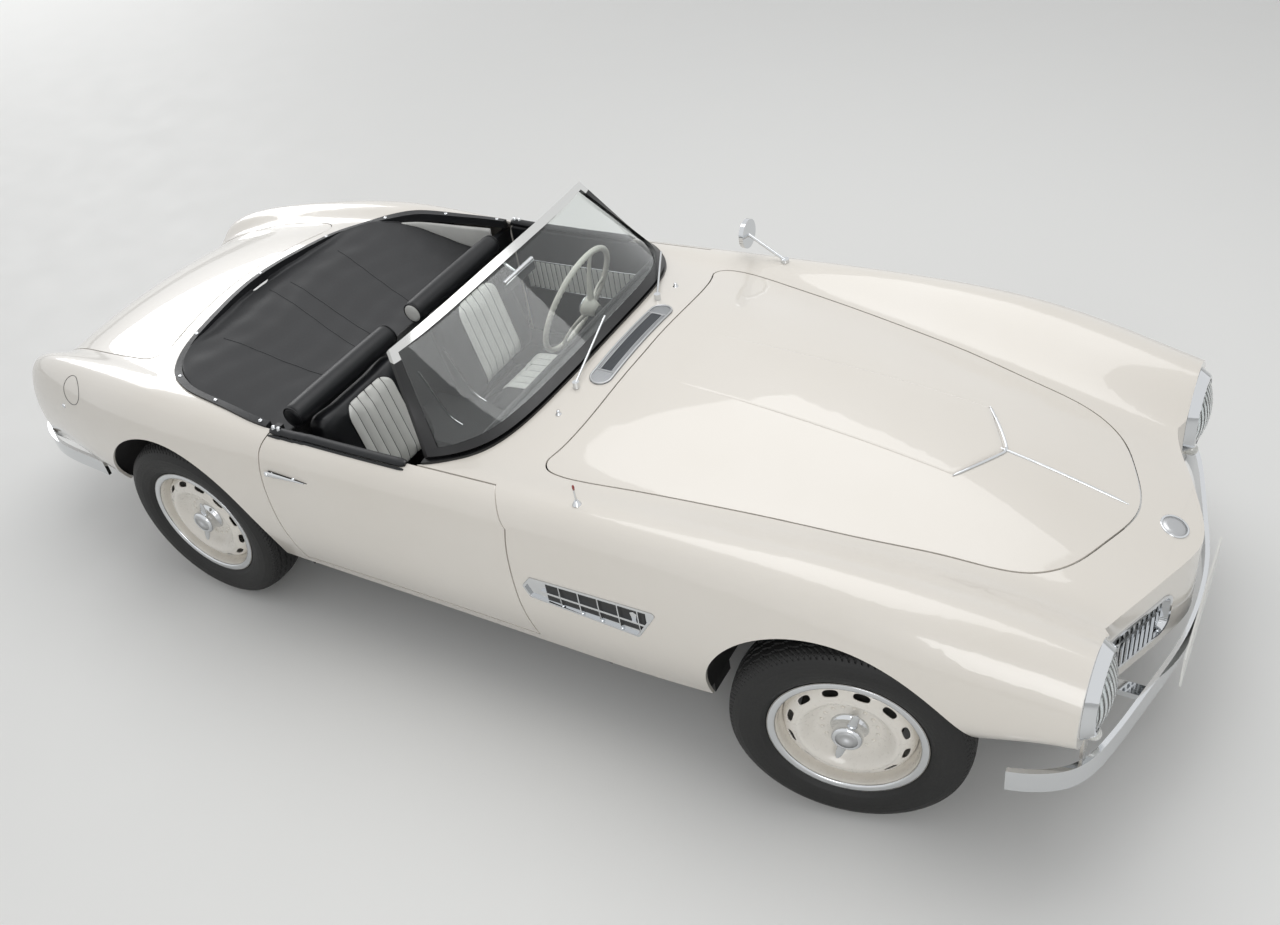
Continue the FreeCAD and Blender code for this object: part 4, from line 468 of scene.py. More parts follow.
def carried(path, profile, up, closed=False, size=None):
    """A profile of (sideways, upward) pairs carried along a path, upright along up; size scales it."""
    path = np.asarray(path, float)
    ahead = along(path, closed)
    up = np.broadcast_to(np.asarray(up, float), path.shape)
    side = np.cross(up, ahead)
    side /= np.linalg.norm(side, axis=1, keepdims=True)
    top = np.cross(ahead, side)
    profile = np.asarray(profile, float)
    grow = np.ones(len(path)) if size is None else np.asarray(size)
    return path[:, None] + grow[:, None, None] * (
        profile[None, :, :1] * side[:, None] + profile[None, :, 1:] * top[:, None])


def circle(radius, sides=12, flat=1.0):
    """Points round a circle, its height times flat."""
    turn = whole_turn(sides)
    return np.stack([radius * np.cos(turn), radius * flat * np.sin(turn)], -1)


def tube(
    name, path, radius, finish, body="chassis", sides=12, closed=False, up=(0.0, 0.0, 1.0), flat=1.0,
    size=None):
    """A round bar along a path, its ends capped unless it is closed."""
    points = carried(path, circle(radius, sides, flat), up, closed, size)
    return surface(name, points, finish, body, ring_rows=closed, ring_columns=True, caps=not closed)


def turned(name, profile, centre, axis, finish, body="chassis", sides=64, closed=True):
    """A turned form: (distance along the axis, radius) pairs carried round an axis through a centre."""
    axis = np.asarray(axis, float) / np.linalg.norm(axis)
    first = np.cross(axis, [1.0, 0.0, 0.0] if abs(axis[0]) < 0.7 else [0.0, 1.0, 0.0])
    first /= np.linalg.norm(first)
    second = np.cross(axis, first)
    profile = np.asarray(profile, float)
    turn = whole_turn(sides)[:, None, None]
    points = np.asarray(centre, float) + profile[None, :, :1] * axis + profile[None, :, 1:] * (
        np.cos(turn) * first + np.sin(turn) * second)
    return surface(name, points, finish, body, ring_rows=True, ring_columns=closed)


def gathered(pieces):
    """The points and faces of several pieces' own meshes as one array and one list."""
    places, faces, count = [], [], 0
    for piece in pieces:
        places.append(points_of(piece.data))
        faces += [[v + count for v in face.vertices] for face in piece.data.polygons]
        count += len(places[-1])
    return np.vstack(places), faces


def joined(name, pieces):
    """Several pieces of one finish and body made one object."""
    places, faces = gathered(pieces)
    mesh = pieces[0].data
    finish, body, smooth = mesh.materials[0], body_name(pieces[0]), mesh.polygons[0].use_smooth
    for piece in pieces:
        bpy.data.objects.remove(piece)
    return make_piece(name, places, faces, finish, body, smooth)


def turned_row(name, profile, spots, axis, finish, body="chassis", sides=24):
    """The same small turned form at several spots, as one object."""
    return joined(
        name,
        [
            turned(f"{name}_{k}", profile, spot, axis, finish, body, sides, closed=False) for k,
            spot in enumerate(spots)])


def tree_of(*pieces):
    """A search tree over the pieces' own meshes."""
    places, faces = gathered(pieces)
    return BVHTree.FromPolygons(places.tolist(), faces)


def skin_tree(*names):
    """A search tree over CAD nodes, to find where a line meets the skin."""
    return tree_of(*(nodes[name] for name in names))


def dropped(tree, places, lift=0.0):
    """Places (x, y) dropped straight down onto a skin, then lifted along its normal."""
    found = []
    for x, y in places:
        hit, normal, _, _ = tree.ray_cast(Vector((x, y, 2.0)), Vector((0.0, 0.0, -1.0)))
        if hit is None:
            hit, normal, _, _ = tree.find_nearest(Vector((x, y, 0.85)))
        found.append(hit + normal * lift)
    return np.array([tuple(v) for v in found])


print("surface helpers ready")

# %% [markdown]
# A period crossply tyre has a rounded shoulder, a tread with five zigzag grooves and short cuts at its
# shoulders, and a sidewall with two raised rings. The whole ring is one grid: round the wheel by round
# the section. The tread is cut in by lowering the radius wherever a groove's zigzag passes.
# %% Tyres
groove_middles = (-0.0450, -0.0225, 0.0, 0.0225, 0.0450)
groove_half_width, groove_depth, zigzag_reach = 0.0028, 0.0065, 0.0030
shoulder_cuts, cut_depth = 120, 0.0045
tyre_rounds, crown_points, crown_half, crown_radius = 480, 47, 0.0700, 0.3428


def tyre(name, centre, axis):
    """Ring surface. Section: side arc, shoulder, crown. Radius drops 6.5 mm in a groove, which is where
    |across - middle - zigzag(angle)| is below the groove's half width."""
    section = np.array(
        [
            (0.0675, 0.2060), (0.0675, 0.2225), (0.0745, 0.2290), (0.0830, 0.2420), (0.0885, 0.2560),
            (0.0912, 0.2700), (0.0915, 0.2840), (0.0895, 0.2990), (0.0850, 0.3120), (0.0795, 0.3210),
            (0.0740, 0.3275)])
    crown_across = np.linspace(crown_half, -crown_half, crown_points)
    crown = np.stack([crown_across, crown_radius - 0.0120 * (np.abs(crown_across) / crown_half) ** 2.6], -1)
    mirrored = section[::-1] * np.array([-1.0, 1.0])
    profile = np.vstack([section, crown, mirrored])
    turn = whole_turn(tyre_rounds)[:, None]
    across, radius = profile[None, :, 0], profile[None, :, 1]
    zigzag = zigzag_reach * (2 * np.abs((turn * 48 / np.pi) % 2 - 1) - 1)
    groove = np.zeros((tyre_rounds, len(profile)))
    for middle in groove_middles:
        groove = np.maximum(groove, np.abs(across - middle - zigzag) < groove_half_width)
    cut = np.abs((turn * shoulder_cuts / (2 * np.pi) + across * 60) % 1 - 0.5) < 0.14
    cut = cut & (np.abs(across) > 0.053) & (radius > 0.322)
    tread = (np.abs(across) < 0.0702) & (radius > 0.329)
    depth = groove_depth * groove * tread + cut_depth * cut
    rings = 0.0009 * (np.abs(radius - 0.243) < 0.004) + 0.0009 * (np.abs(radius - 0.300) < 0.004)
    radius = radius - depth
    across = across + np.sign(across) * rings * (np.abs(across) > 0.075)
    axis = np.asarray(axis, float)
    first = np.array([-axis[1], axis[0], 0.0])
    second = np.array([0.0, 0.0, 1.0])
    points = np.asarray(centre) + across[..., None] * axis + radius[..., None] * (
        np.cos(turn)[..., None] * first + np.sin(turn)[..., None] * second)
    body = "wheel_" + name
    piece = surface("tyre_tread_" + name, points, tyre_rubber, body, ring_rows=True, ring_columns=True)
    piece.data.polygons.foreach_set("use_smooth", np.zeros(len(piece.data.polygons), bool))
    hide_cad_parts("tyre_" + name)
    return piece


hubs = {}
for joint in frame["joints"]:
    if joint["child"].startswith("wheel_"):
        corner = joint["child"][len("wheel_"):]
        side = 1.0 if corner.endswith("left") else -1.0
        hubs[corner] = (np.array(joint["pos_m"]), np.array(joint["axis"]) * side)
for corner, (centre, axis) in hubs.items():
    made = tyre(corner, centre, axis)
    print(made.name, len(made.data.polygons), "faces")

# %% [markdown]
# The steel wheels are ivory. A drop-centre rim carries a pressed disc whose shoulder rises outward and
# holds twelve oval slots, then dips to the hub. Everything is turned about the hub, except the slots:
# in each of twelve sectors a grid runs from the oval's edge to the sector's border, so the holes are real.
# %% Rims and discs
slot_count, rivet_count, rivet_circle = 12, 16, 0.0790


def level_beside(axis):
    """The level direction at right angles to an axle."""
    return np.array([-axis[1], axis[0], 0.0]) / np.linalg.norm(axis[:2])


def disc_place(depth_and_radius, turn, centre, axis):
    """Points at (distance along the axis, radius) and a turn about a hub."""
    first = level_beside(axis)
    along_axis, radius = depth_and_radius[..., :1], depth_and_radius[..., 1:]
    return centre + along_axis * axis + radius * (
        np.cos(turn)[..., None] * first + np.sin(turn)[..., None] * np.array([0.0, 0.0, 1.0]))


def slotted_disc(corner, centre, axis):
    """Three bands joined by merging their shared borders: shoulder with slots, crown and dish, outer skirt."""
    body = "wheel_" + corner
    around = 14
    shoulder_low, shoulder_high = np.array([0.0450, 0.1800]), np.array([0.0640, 0.1480])
    inner_profile = np.array(
        [
            (0.0640, 0.1480), (0.0665, 0.1430), (0.0668, 0.1380), (0.0650, 0.1320), (0.0570, 0.1230),
            (0.0460, 0.1140), (0.0370, 0.1060), (0.0320, 0.0990), (0.0300, 0.0940), (0.0292, 0.0900),
            (0.0292, 0.0700), (0.0300, 0.0560), (0.0300, 0.0200)])
    outer_profile = np.array([(0.0240, 0.1890), (0.0290, 0.1875), (0.0380, 0.1835), (0.0450, 0.1800)])
    sector = 2 * np.pi / slot_count
    places, faces, count = [], [], 0
    full_turn = np.linspace(0, 2 * np.pi, slot_count * around, endpoint=False)[:, None]
    for profile in (inner_profile, outer_profile):
        fine = smooth_path(profile, len(profile) * 2)
        grid = disc_place(
            fine[None, :] + 0 * full_turn[..., None], full_turn + 0 * fine[None, :, 0], centre, axis)
        places.append(grid.reshape(-1, 3))
        faces += grid_faces(*grid.shape[:2], ring_rows=True, start_at=count)
        count += grid.shape[0] * grid.shape[1]
    side = 8
    border_s = np.concatenate(
        [
            np.linspace(-1, 1, around + 1)[:-1], np.ones(side), np.linspace(1, -1, around + 1)[:-1],
            -np.ones(side)])
    border_t = np.concatenate(
        [
            -np.ones(around), np.linspace(-1, 1, side + 1)[:-1], np.ones(around),
            np.linspace(1, -1, side + 1)[:-1]])
    aim = np.arctan2(border_t, border_s)
    oval_s = 0.54 * np.sign(np.cos(aim)) * np.abs(np.cos(aim)) ** 0.75
    oval_t = 0.56 * np.sign(np.sin(aim)) * np.abs(np.sin(aim)) ** 0.75
    step = np.linspace(0.0, 1.0, 6)[:, None]
    s = oval_s + (border_s - oval_s) * step
    t = oval_t + (border_t - oval_t) * step
    bulge = 0.0030 * (1 - t ** 2)
    section = (
        shoulder_low + (shoulder_high - shoulder_low) * ((t + 1) / 2)[..., None] + bulge[..., None]
        * np.array([0.86, 0.51]))
    for k in range(slot_count):
        grid = disc_place(section, (k + 0.5) * sector + s * sector / 2, centre, axis)
        places.append(grid.reshape(-1, 3))
        faces += grid_faces(*grid.shape[:2], ring_columns=True, start_at=count)
        count += grid.shape[0] * grid.shape[1]
    disc = make_piece("wheel_disc_" + corner, np.vstack(places), faces, wheel_paint, body)
    merged = bmesh.new()
    merged.from_mesh(disc.data)
    bmesh.ops.remove_doubles(merged, verts=merged.verts, dist=0.0002)
    bmesh.ops.recalc_face_normals(merged, faces=merged.faces)
    merged.to_mesh(disc.data)
    merged.free()
    normal = np.array(disc.data.polygons[0].normal)
    if float(normal @ axis) < 0:
        disc.data.flip_normals()
    wall = disc.modifiers.new("sheet_steel", "SOLIDIFY")
    wall.thickness, wall.offset = 0.0035, -1.0
    return disc


def wheel_dressing(corner, centre, axis):
    """Rim barrel, disc, brake drum, rivets on a circle, polished ring and a spinner with two ears."""
    body = "wheel_" + corner
    barrel_line = smooth_path(
        [
            (0.0745, 0.2220), (0.0740, 0.2120), (0.0700, 0.2025), (0.0600, 0.1990), (0.0400, 0.1970),
            (0.0280, 0.1915), (0.0160, 0.1885), (-0.0160, 0.1885), (-0.0280, 0.1915), (-0.0400, 0.1970),
            (-0.0600, 0.1990), (-0.0700, 0.2025), (-0.0740, 0.2120), (-0.0745, 0.2220)], 38)
    barrel_wall = np.vstack([barrel_line, barrel_line[::-1] + np.array([0.0, 0.0034])])
    barrel = turned("rim_barrel_" + corner, barrel_wall, centre, axis, wheel_paint, body, 112)
    disc = slotted_disc(corner, centre, axis)
    drum = turned(
        "brake_drum_" + corner,
        [
            (-0.0600, 0.0), (-0.0600, 0.1420), (-0.0560, 0.1450), (-0.0100, 0.1450), (-0.0040, 0.1400),
            (0.0120, 0.0900), (0.0230, 0.0700), (0.0240, 0.0)], centre, axis, cast_metal, body, 72,
        closed=False)
    rim_profile = [
        (0.0700, 0.2010), (0.0752, 0.2040), (0.0762, 0.2100), (0.0760, 0.2190), (0.0762, 0.2222),
        (0.0748, 0.2236), (0.0734, 0.2226), (0.0734, 0.2120), (0.0692, 0.2022)]
    rim = turned("rim_ring_" + corner, rim_profile, centre, axis, chrome, body, 144)
    first = level_beside(axis)
    rivets = []
    for k in range(rivet_count):
        turn = 2 * math.pi * (k + 0.5) / rivet_count
        spot = centre + rivet_circle * (
            math.cos(turn) * first + math.sin(turn) * np.array([0.0, 0.0, 1.0])) + 0.0292 * axis
        dome = [(-0.003, 0.0), (-0.003, 0.0058), (0.0016, 0.0056), (0.0042, 0.0036), (0.0048, 0.0)]
        rivets.append(turned(f"rivet_{corner}_{k}", dome, spot, axis, wheel_paint, body, 12, closed=False))
    rivets = joined("rivets_" + corner, rivets)
    cap_profile = [
        (0.0230, 0.0), (0.0230, 0.0530), (0.0300, 0.0545), (0.0360, 0.0500), (0.0400, 0.0440),
        (0.0540, 0.0425), (0.0600, 0.0430), (0.0660, 0.0450), (0.0740, 0.0440), (0.0790, 0.0400),
        (0.0810, 0.0350), (0.0795, 0.0325), (0.0797, 0.0200), (0.0800, 0.0)]
    cap = turned("spinner_cap_" + corner, cap_profile, centre, axis, chrome, body, 64, closed=False)
    ears = []
    ear_turn = math.radians(72.0 if axis[1] < 0 else 108.0)
    ear_way = math.cos(ear_turn) * first + math.sin(ear_turn) * np.array([0.0, 0.0, 1.0])
    for way in (-1.0, 1.0):
        reach = np.linspace(0.030, 0.104, 16)
        lift = 0.0620 + 0.0060 * ((reach - 0.030) / 0.074) ** 2
        path = centre + (way * reach)[:, None] * ear_way + lift[:, None] * axis
        width = np.interp(np.arange(16), [0, 5, 10, 13, 15], [1.35, 1.15, 0.95, 0.70, 0.16])
        ears.append(
            tube(f"ear_{corner}_{way}", path, 0.0120, chrome, body, 16, up=axis, flat=0.42, size=width))
    spinner = joined("spinner_" + corner, [cap] + ears)
    plain_disc = [
        (0.0796, 0.0), (0.0803, 0.0), (0.0803, 0.0200), (0.0796, 0.0318), (0.0785, 0.0322), (0.0785, 0.0)]
    badge_place = turned(
        "spinner_disc_" + corner, plain_disc, centre, axis, aluminium, body, 48, closed=False)
    for piece in (barrel, disc, rivets, drum, rim, spinner, badge_place):
        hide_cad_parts(body)


for corner, (centre, axis) in hubs.items():
    wheel_dressing(corner, centre, axis)
print("wheels dressed:", len(hubs))

# %% [markdown]
# Upholstery lies on other forms, so five more helpers are needed. One closes two grids into a thin body,
# one finds where rays meet a piece, and one mirrors a piece to the car's other side. The last two make a
# rounded block and blow it up as cloth, which gives a stuffed pad its crown and its soft edges.
# %% Upholstery helpers
def slab(name, top, bottom, finish, body="chassis"):
    """A closed body from two grids of points of the same size, with walls between their borders."""
    rows, columns = top.shape[:2]
    count = rows * columns
    border = np.concatenate([
        np.arange(columns), np.arange(1, rows) * columns + columns - 1,
        (rows - 1) * columns + np.arange(columns - 2, -1, -1), np.arange(rows - 2, 0, -1) * columns])
    after = np.roll(border, -1)
    walls = np.stack([border, after, after + count, border + count], -1).tolist()
    lower = [face[::-1] for face in grid_faces(rows, columns, start_at=count)]
    places = np.vstack([top.reshape(-1, 3), bottom.reshape(-1, 3)])
    piece = make_piece(name, places, grid_faces(rows, columns) + lower + walls, finish, body)
    face_outward(piece)
    return piece


def met(tree, starts, direction, far=2.0):
    """Where rays from a grid of starts meet a tree; a miss takes the nearest point of the tree."""
    starts = np.asarray(starts, float)
    found = []
    for spot in starts.reshape(-1, 3):
        hit = tree.ray_cast(Vector(spot), Vector(direction), far)[0]
        found.append(tuple(hit if hit is not None else tree.find_nearest(Vector(spot))[0]))
    return np.array(found).reshape(starts.shape)


def mirrored(piece, name):
    """The piece's mesh with y negated and each face turned round, so it still faces outward."""
    mesh = piece.data
    faces = [list(face.vertices)[::-1] for face in mesh.polygons]
    body = body_name(piece).replace("left", "right")
    twin = make_piece(name, points_of(mesh) * np.array([1.0, -1.0, 1.0]), faces, mesh.materials[0], body)
    for modifier in piece.modifiers:
        if modifier.type == "SUBSURF":
            twin.modifiers.new("smooth", "SUBSURF")
    return twin


def filled(piece, cell, cap):
    """Remeshed to even cells, then blown up as cloth for 20 frames; no point moves more than cap metres."""
    scene = bpy.context.scene
    even = piece.modifiers.new("even_cells", "REMESH")
    even.mode, even.voxel_size = "VOXEL", cell
    mesh = bpy.data.meshes.new_from_object(piece.evaluated_get(bpy.context.evaluated_depsgraph_get()))
    piece.modifiers.clear()
    piece.data = mesh
    first = points_of(mesh)
    cloth = piece.modifiers.new("filling", "CLOTH")
    cloth.settings.use_pressure = True
    cloth.settings.uniform_pressure_force = 4.0
    cloth.settings.effector_weights.gravity = 0.0
    cloth.settings.quality = 6
    cloth.point_cache.frame_start, cloth.point_cache.frame_end = 1, 20
    for moment in range(1, 21):
        scene.frame_set(moment)
    swollen = bpy.data.meshes.new_from_object(piece.evaluated_get(bpy.context.evaluated_depsgraph_get()))
    piece.modifiers.clear()
    scene.frame_set(1)
    move = points_of(swollen) - first
    reach = np.linalg.norm(move, axis=1, keepdims=True)
    first = first + move * np.minimum(1.0, cap / np.maximum(reach, 1e-9))
    mesh.vertices.foreach_set("co", first.ravel())
    mesh.polygons.foreach_set("use_smooth", np.ones(len(mesh.polygons), bool))
    mesh.update()
    soften = piece.modifiers.new("smooth", "SUBSURF")
    soften.levels = soften.render_levels = 1
    return piece


def block_form(name, middle, across, up, out, half, finish, body="chassis", power=0.22):
    """A rounded block: cos and sin of two angles raised to a small power, carried along three directions."""
    u = np.linspace(-np.pi, np.pi, 49)[:-1][:, None]
    v = np.linspace(-np.pi / 2, np.pi / 2, 25)[None, 1:-1]
    shaped = lambda value: np.sign(value) * np.abs(value) ** power
    a = half[0] * shaped(np.cos(v)) * shaped(np.cos(u))
    b = half[1] * shaped(np.cos(v)) * shaped(np.sin(u))
    c = half[2] * shaped(np.sin(v)) * np.ones_like(u)
    points = (
        np.asarray(middle) + a[..., None] * np.asarray(across) + b[..., None] * np.asarray(up) + c[..., None]
        * np.asarray(out))
    rows = points.shape[0]
    faces = grid_faces(rows, points.shape[1], ring_rows=True)
    faces.append([k * points.shape[1] for k in range(rows)])
    faces.append([k * points.shape[1] + points.shape[1] - 1 for k in range(rows)][::-1])
    piece = make_piece(name, points, faces, finish, body)
    face_outward(piece)
    return piece


print("upholstery helpers ready")

# %% [markdown]
# Each bucket seat is a cushion and a raked back with a thick roll along its top. The borders are black
# hide and the faces are white hide with six sewn pleats. A stuffed pad bulges between its seams, so each
# pad starts as a rounded block a little too small, and cloth under air pressure fills it out.
# %% Seat pads
rake = np.array([-0.2292, 0.0, 0.9734])
seat_out = np.array([0.9734, 0.0, 0.2292])
level = np.array([0.0, 1.0, 0.0])
seat_middle_y = 0.335
back_foot = np.array([-0.4403, seat_middle_y, 0.4003])
back_middle = back_foot + rake * 0.200 - seat_out * 0.054
slope = np.array([0.9968, 0.0, 0.0797])
slope_up = np.array([-0.0797, 0.0, 0.9968])
cushion_middle = np.array([-0.185, seat_middle_y, 0.372])
back_pad = filled(
    block_form("seat_back_left", back_middle, level, rake, seat_out, (0.238, 0.192, 0.041), black_hide),
    0.012, 0.013)
cushion_pad = filled(
    block_form(
        "seat_cushion_left", cushion_middle, level, slope, slope_up, (0.238, 0.232, 0.060), black_hide),
    0.012, 0.016)
print("pads:", len(back_pad.data.polygons), len(cushion_pad.data.polygons), "faces")

# %% [markdown]
# The white faces are sewn on top. A grid of rays finds the pad's own surface, so the pleats follow its
# crown; each pleat is half a sine raised to a power below one, which is a round channel with a tight seam.
# %% Pleated faces, piping and head rolls
def pleated(
    name, tree, corner, across, run, inward, width, length, pleats, round_end, body="chassis", height=0.0075,
    clear=0.12, rows=56, fine=12):
    """Pleats run along 'run'. Height: (sine of pleats turns) ** 0.6, falling to nothing at both ends; the far
    end's corners are quarter circles of radius round_end."""
    u = np.linspace(0.0, 1.0, pleats * fine + 1)[None, :]
    v = np.linspace(0.0, 1.0, rows)[:, None]
    side = np.minimum(u, 1 - u) * width
    inset = np.where(
        side < round_end, round_end - np.sqrt(np.maximum(round_end ** 2 - (round_end - side) ** 2, 0.0)),
        0.0)
    reach = v * (length - inset)
    across, run, inward = (np.asarray(d, float) for d in (across, run, inward))
    starts = (
        np.asarray(corner, float) + (u * width + 0 * v)[..., None] * across + reach[..., None] * run - clear
        * inward)
    ground = met(tree, starts, inward, clear * 3)
    ends = np.sqrt(np.clip(np.minimum(reach, (length - inset) - reach) / 0.012, 0.0, 1.0))
    rise = height * np.abs(np.sin(np.pi * pleats * u)) ** 0.6 * ends - 0.0012
    top = ground - rise[..., None] * inward
    return slab(name, top, ground + 0.010 * inward, white_hide, body), ground


def piping(name, ground, inward, finish, body="chassis", radius=0.0026):
    """A welt along three sides of a face: up one side, over the end and down the other."""
    path = np.vstack([ground[:, 0], ground[-1, 1:-1], ground[::-1, -1]])
    path = path[np.concatenate([[True], np.linalg.norm(np.diff(path, axis=0), axis=1) > 0.0015])]
    return tube(name, path - 0.0008 * np.asarray(inward), radius, finish, body, 8, up=-np.asarray(inward))


back_tree, cushion_tree = tree_of(back_pad), tree_of(cushion_pad)
back_corner = back_foot - level * 0.130 + rake * 0.030
back_face, back_ground = pleated(
    "seat_back_face_left", back_tree, back_corner, level, rake, -seat_out, 0.245, 0.335, 6, 0.055)
back_welt = piping("seat_back_piping_left", back_ground, -seat_out, black_hide)
cushion_corner = np.array([-0.425, seat_middle_y - 0.130, 0.440])
cushion_face, cushion_ground = pleated(
    "seat_cushion_face_left", cushion_tree, cushion_corner, level, slope, -slope_up, 0.245, 0.445, 6, 0.045)
cushion_welt = piping("seat_cushion_piping_left", cushion_ground, -slope_up, black_hide)

roll_half, roll_radius = 0.262, 0.0435
t = np.linspace(-1.0, 1.0, 41)
crown = roll_radius * (1.0 - 0.05 * np.abs(t) ** 3) * np.clip((1 - np.abs(t)) / 0.035 + 0.86, 0.0, 1.0)
roll_profile = np.vstack([[(-roll_half, 0.0)], np.stack([t * roll_half, crown], -1), [(roll_half, 0.0)]])
roll_centre = np.array([-0.6105, seat_middle_y, 0.8055])
head_roll = turned("head_roll_left", roll_profile, roll_centre, level, black_hide, sides=48, closed=False)
caps = []
for way in (-1.0, 1.0):
    spot = roll_centre + level * way * roll_half
    dome = [
        (-0.002, 0.0), (-0.002, 0.0345), (0.0015, 0.0340), (0.0040, 0.0280), (0.0055, 0.0150), (0.0058, 0.0)]
    caps.append(turned(f"roll_cap_{way}", dome, spot, level * way, white_hide, sides=40, closed=False))
roll_caps = caps[0]
roll_caps.name = "head_roll_inner_cap_left"
outer_cap = caps[1]
outer_cap.name = "head_roll_outer_cap_left"
outer_cap.data.materials[0] = black_hide
rings = []
for way in (-1.0, 1.0):
    turn = whole_turn(48)
    path = roll_centre + level * way * (roll_half - 0.001) + 0.0375 * (
        np.cos(turn)[:, None] * np.array([1.0, 0, 0]) + np.sin(turn)[:, None] * np.array([0, 0, 1.0]))
    rings.append(tube(f"roll_ring_{way}", path, 0.0028, black_hide, sides=8, closed=True, up=(0, 1, 0)))
roll_welts = joined("head_roll_piping_left", rings)
bracket_path = smooth_path(
    [
        (-0.512, 0.0765, 0.668), (-0.474, 0.0765, 0.590), (-0.436, 0.0765, 0.512), (-0.408, 0.0765, 0.474),
        (-0.366, 0.0765, 0.452)], 40)
bracket = tube("seat_hinge_bracket_left", bracket_path, 0.0062, chrome, sides=12, up=(0, 1, 0), flat=0.5)
hide_parts = (
    back_pad, cushion_pad, back_face, cushion_face, back_welt, cushion_welt, head_roll, roll_caps,
    outer_cap, roll_welts)
for piece in hide_parts:
    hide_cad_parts("seat_left")

for piece in (*hide_parts, bracket):
    twin = mirrored(piece, piece.name.replace("left", "right"))
    if piece is not bracket:
        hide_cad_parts("seat_right")
print("seats trimmed")

# %% [markdown]
# Behind the seats a black coated cloth closes the well of the folded roof. It is buttoned to the body
# all round, so it is stretched between its seams and slopes down towards the seats. One grid makes it:
# its edges come from rays against the CAD cover, its height is a smooth slope with a shallow sag.
# %% Rear cover
def ease(value):
    """Smooth step: 3 t squared less 2 t cubed, with t held between 0 and 1."""
    value = np.clip(value, 0.0, 1.0)
    return value * value * (3.0 - 2.0 * value)


def cover_height(x, u):
    """The cover's surface: level at the rear, sloping down forward, raised a little at its buttoned edges."""
    fall = ease((x + 1.240) / 0.600)
    return (
        0.8460 - 0.1340 * fall + 0.016 * np.abs(u) ** 6 * (1 - fall) - 0.010 * (1 - u ** 2)
        * np.sin(np.pi * ease((x + 1.29) / 0.62)))


cover_tree = skin_tree("rear_cover")
stations = -1.2965 + 0.6290 * (1 - np.cos(np.linspace(0.0, np.pi / 2, 64)))
cad_top = np.interp(stations, [-1.349, -1.139, -0.942, -0.766, -0.665], [0.850, 0.845, 0.826, 0.793, 0.751])
half_width = []
for x, z in zip(stations, cad_top):
    hit = cover_tree.ray_cast(Vector((x, 1.5, z - 0.022)), Vector((0.0, -1.0, 0.0)))[0]
    half_width.append(hit.y if hit is not None else 0.0)
half_width = np.maximum(np.array(half_width) - 0.003, 0.02)
u = np.linspace(-1.0, 1.0, 121)[None, :]
cloth_x = stations[:, None] + 0 * u
cloth_y = half_width[:, None] * u
creases = (
    0.0012 * np.sin(cloth_x * 61 + 2.1 * np.sin(cloth_y * 9)) + 0.0010
    * np.sin(cloth_y * 47 + 1.7 * np.sin(cloth_x * 13)))
cloth_top = np.stack([cloth_x, cloth_y, cover_height(cloth_x, u) + creases], -1)
cover = slab("rear_cover_cloth", cloth_top, cloth_top - np.array([0.0, 0.0, 0.0022]), coated_cloth)

cloth_tree = tree_of(cover)
stitch_lines = []
for k, (start_spot, end_spot) in enumerate([
        ((-1.285, 0.0), (-0.668, -0.110)), (
            (-1.240, 0.075), (-0.668, -0.020)), ((-1.215, 0.335), (-0.668, 0.215)),
        ((-1.215, -0.335), (-0.668, -0.265))]):
    line = np.linspace(start_spot, end_spot, 60)[4:-2]
    seam = dropped(cloth_tree, line, 0.0004)
    stitch_lines.append(tube(f"cover_seam_{k}", seam, 0.0022, coated_cloth, sides=8, flat=0.6))
cover_seams = joined("rear_cover_seams", stitch_lines)
for piece in (cover, cover_seams):
    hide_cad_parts("rear_cover")

# %% [markdown]
# The body's edge round the well carries a rolled black welt with chrome press studs. The welt's middle
# is found with rays down along lines that fan out from the middle of the well.
# %% Press studs and the welt
trim_tree = skin_tree("cockpit_trim")
well_centre = np.array([-0.90, 0.0])


def trim_middle(x, y):
    """The welt's middle on the line from the well's centre through (x, y): of the places that rays down meet,
    the one nearest to their mean distance."""
    aim = np.array([x, y]) - well_centre
    aim /= np.linalg.norm(aim)
    reach = np.arange(0.20, 0.80, 0.002)
    spots = well_centre + reach[:, None] * aim
    hits = [trim_tree.ray_cast(Vector((a, b, 1.2)), Vector((0.0, 0.0, -1.0))) for a, b in spots]
    found = [(tuple(h[0]), tuple(h[1])) for h in hits if h[0] is not None and h[0].z > 0.8]
    places = np.array([f[0] for f in found])
    away = np.linalg.norm(places[:, :2] - well_centre, axis=1)
    middle = int(np.argmin(np.abs(away - away.mean())))
    return places[middle], np.array(found[middle][1])


studs = []
for k, (x, y) in enumerate([
        (-0.640, 0.700), (-0.640, -0.700), (-0.875, 0.660), (-0.875, -0.660), (-1.130, 0.575), (-1.130, -0.575),
        (-1.257, 0.360), (-1.257, -0.360), (-1.318, 0.030)]):
    spot, normal = trim_middle(x, y)
    dome = [
        (-0.0020, 0.0), (-0.0020, 0.0075), (0.0012, 0.0074), (0.0030, 0.0062), (0.0040, 0.0040),
        (0.0036, 0.0)]
    studs.append(turned(f"stud_{k}", dome, spot, normal, chrome, sides=20, closed=False))
press_studs = joined("press_studs", studs)
print("press studs:", len(studs))

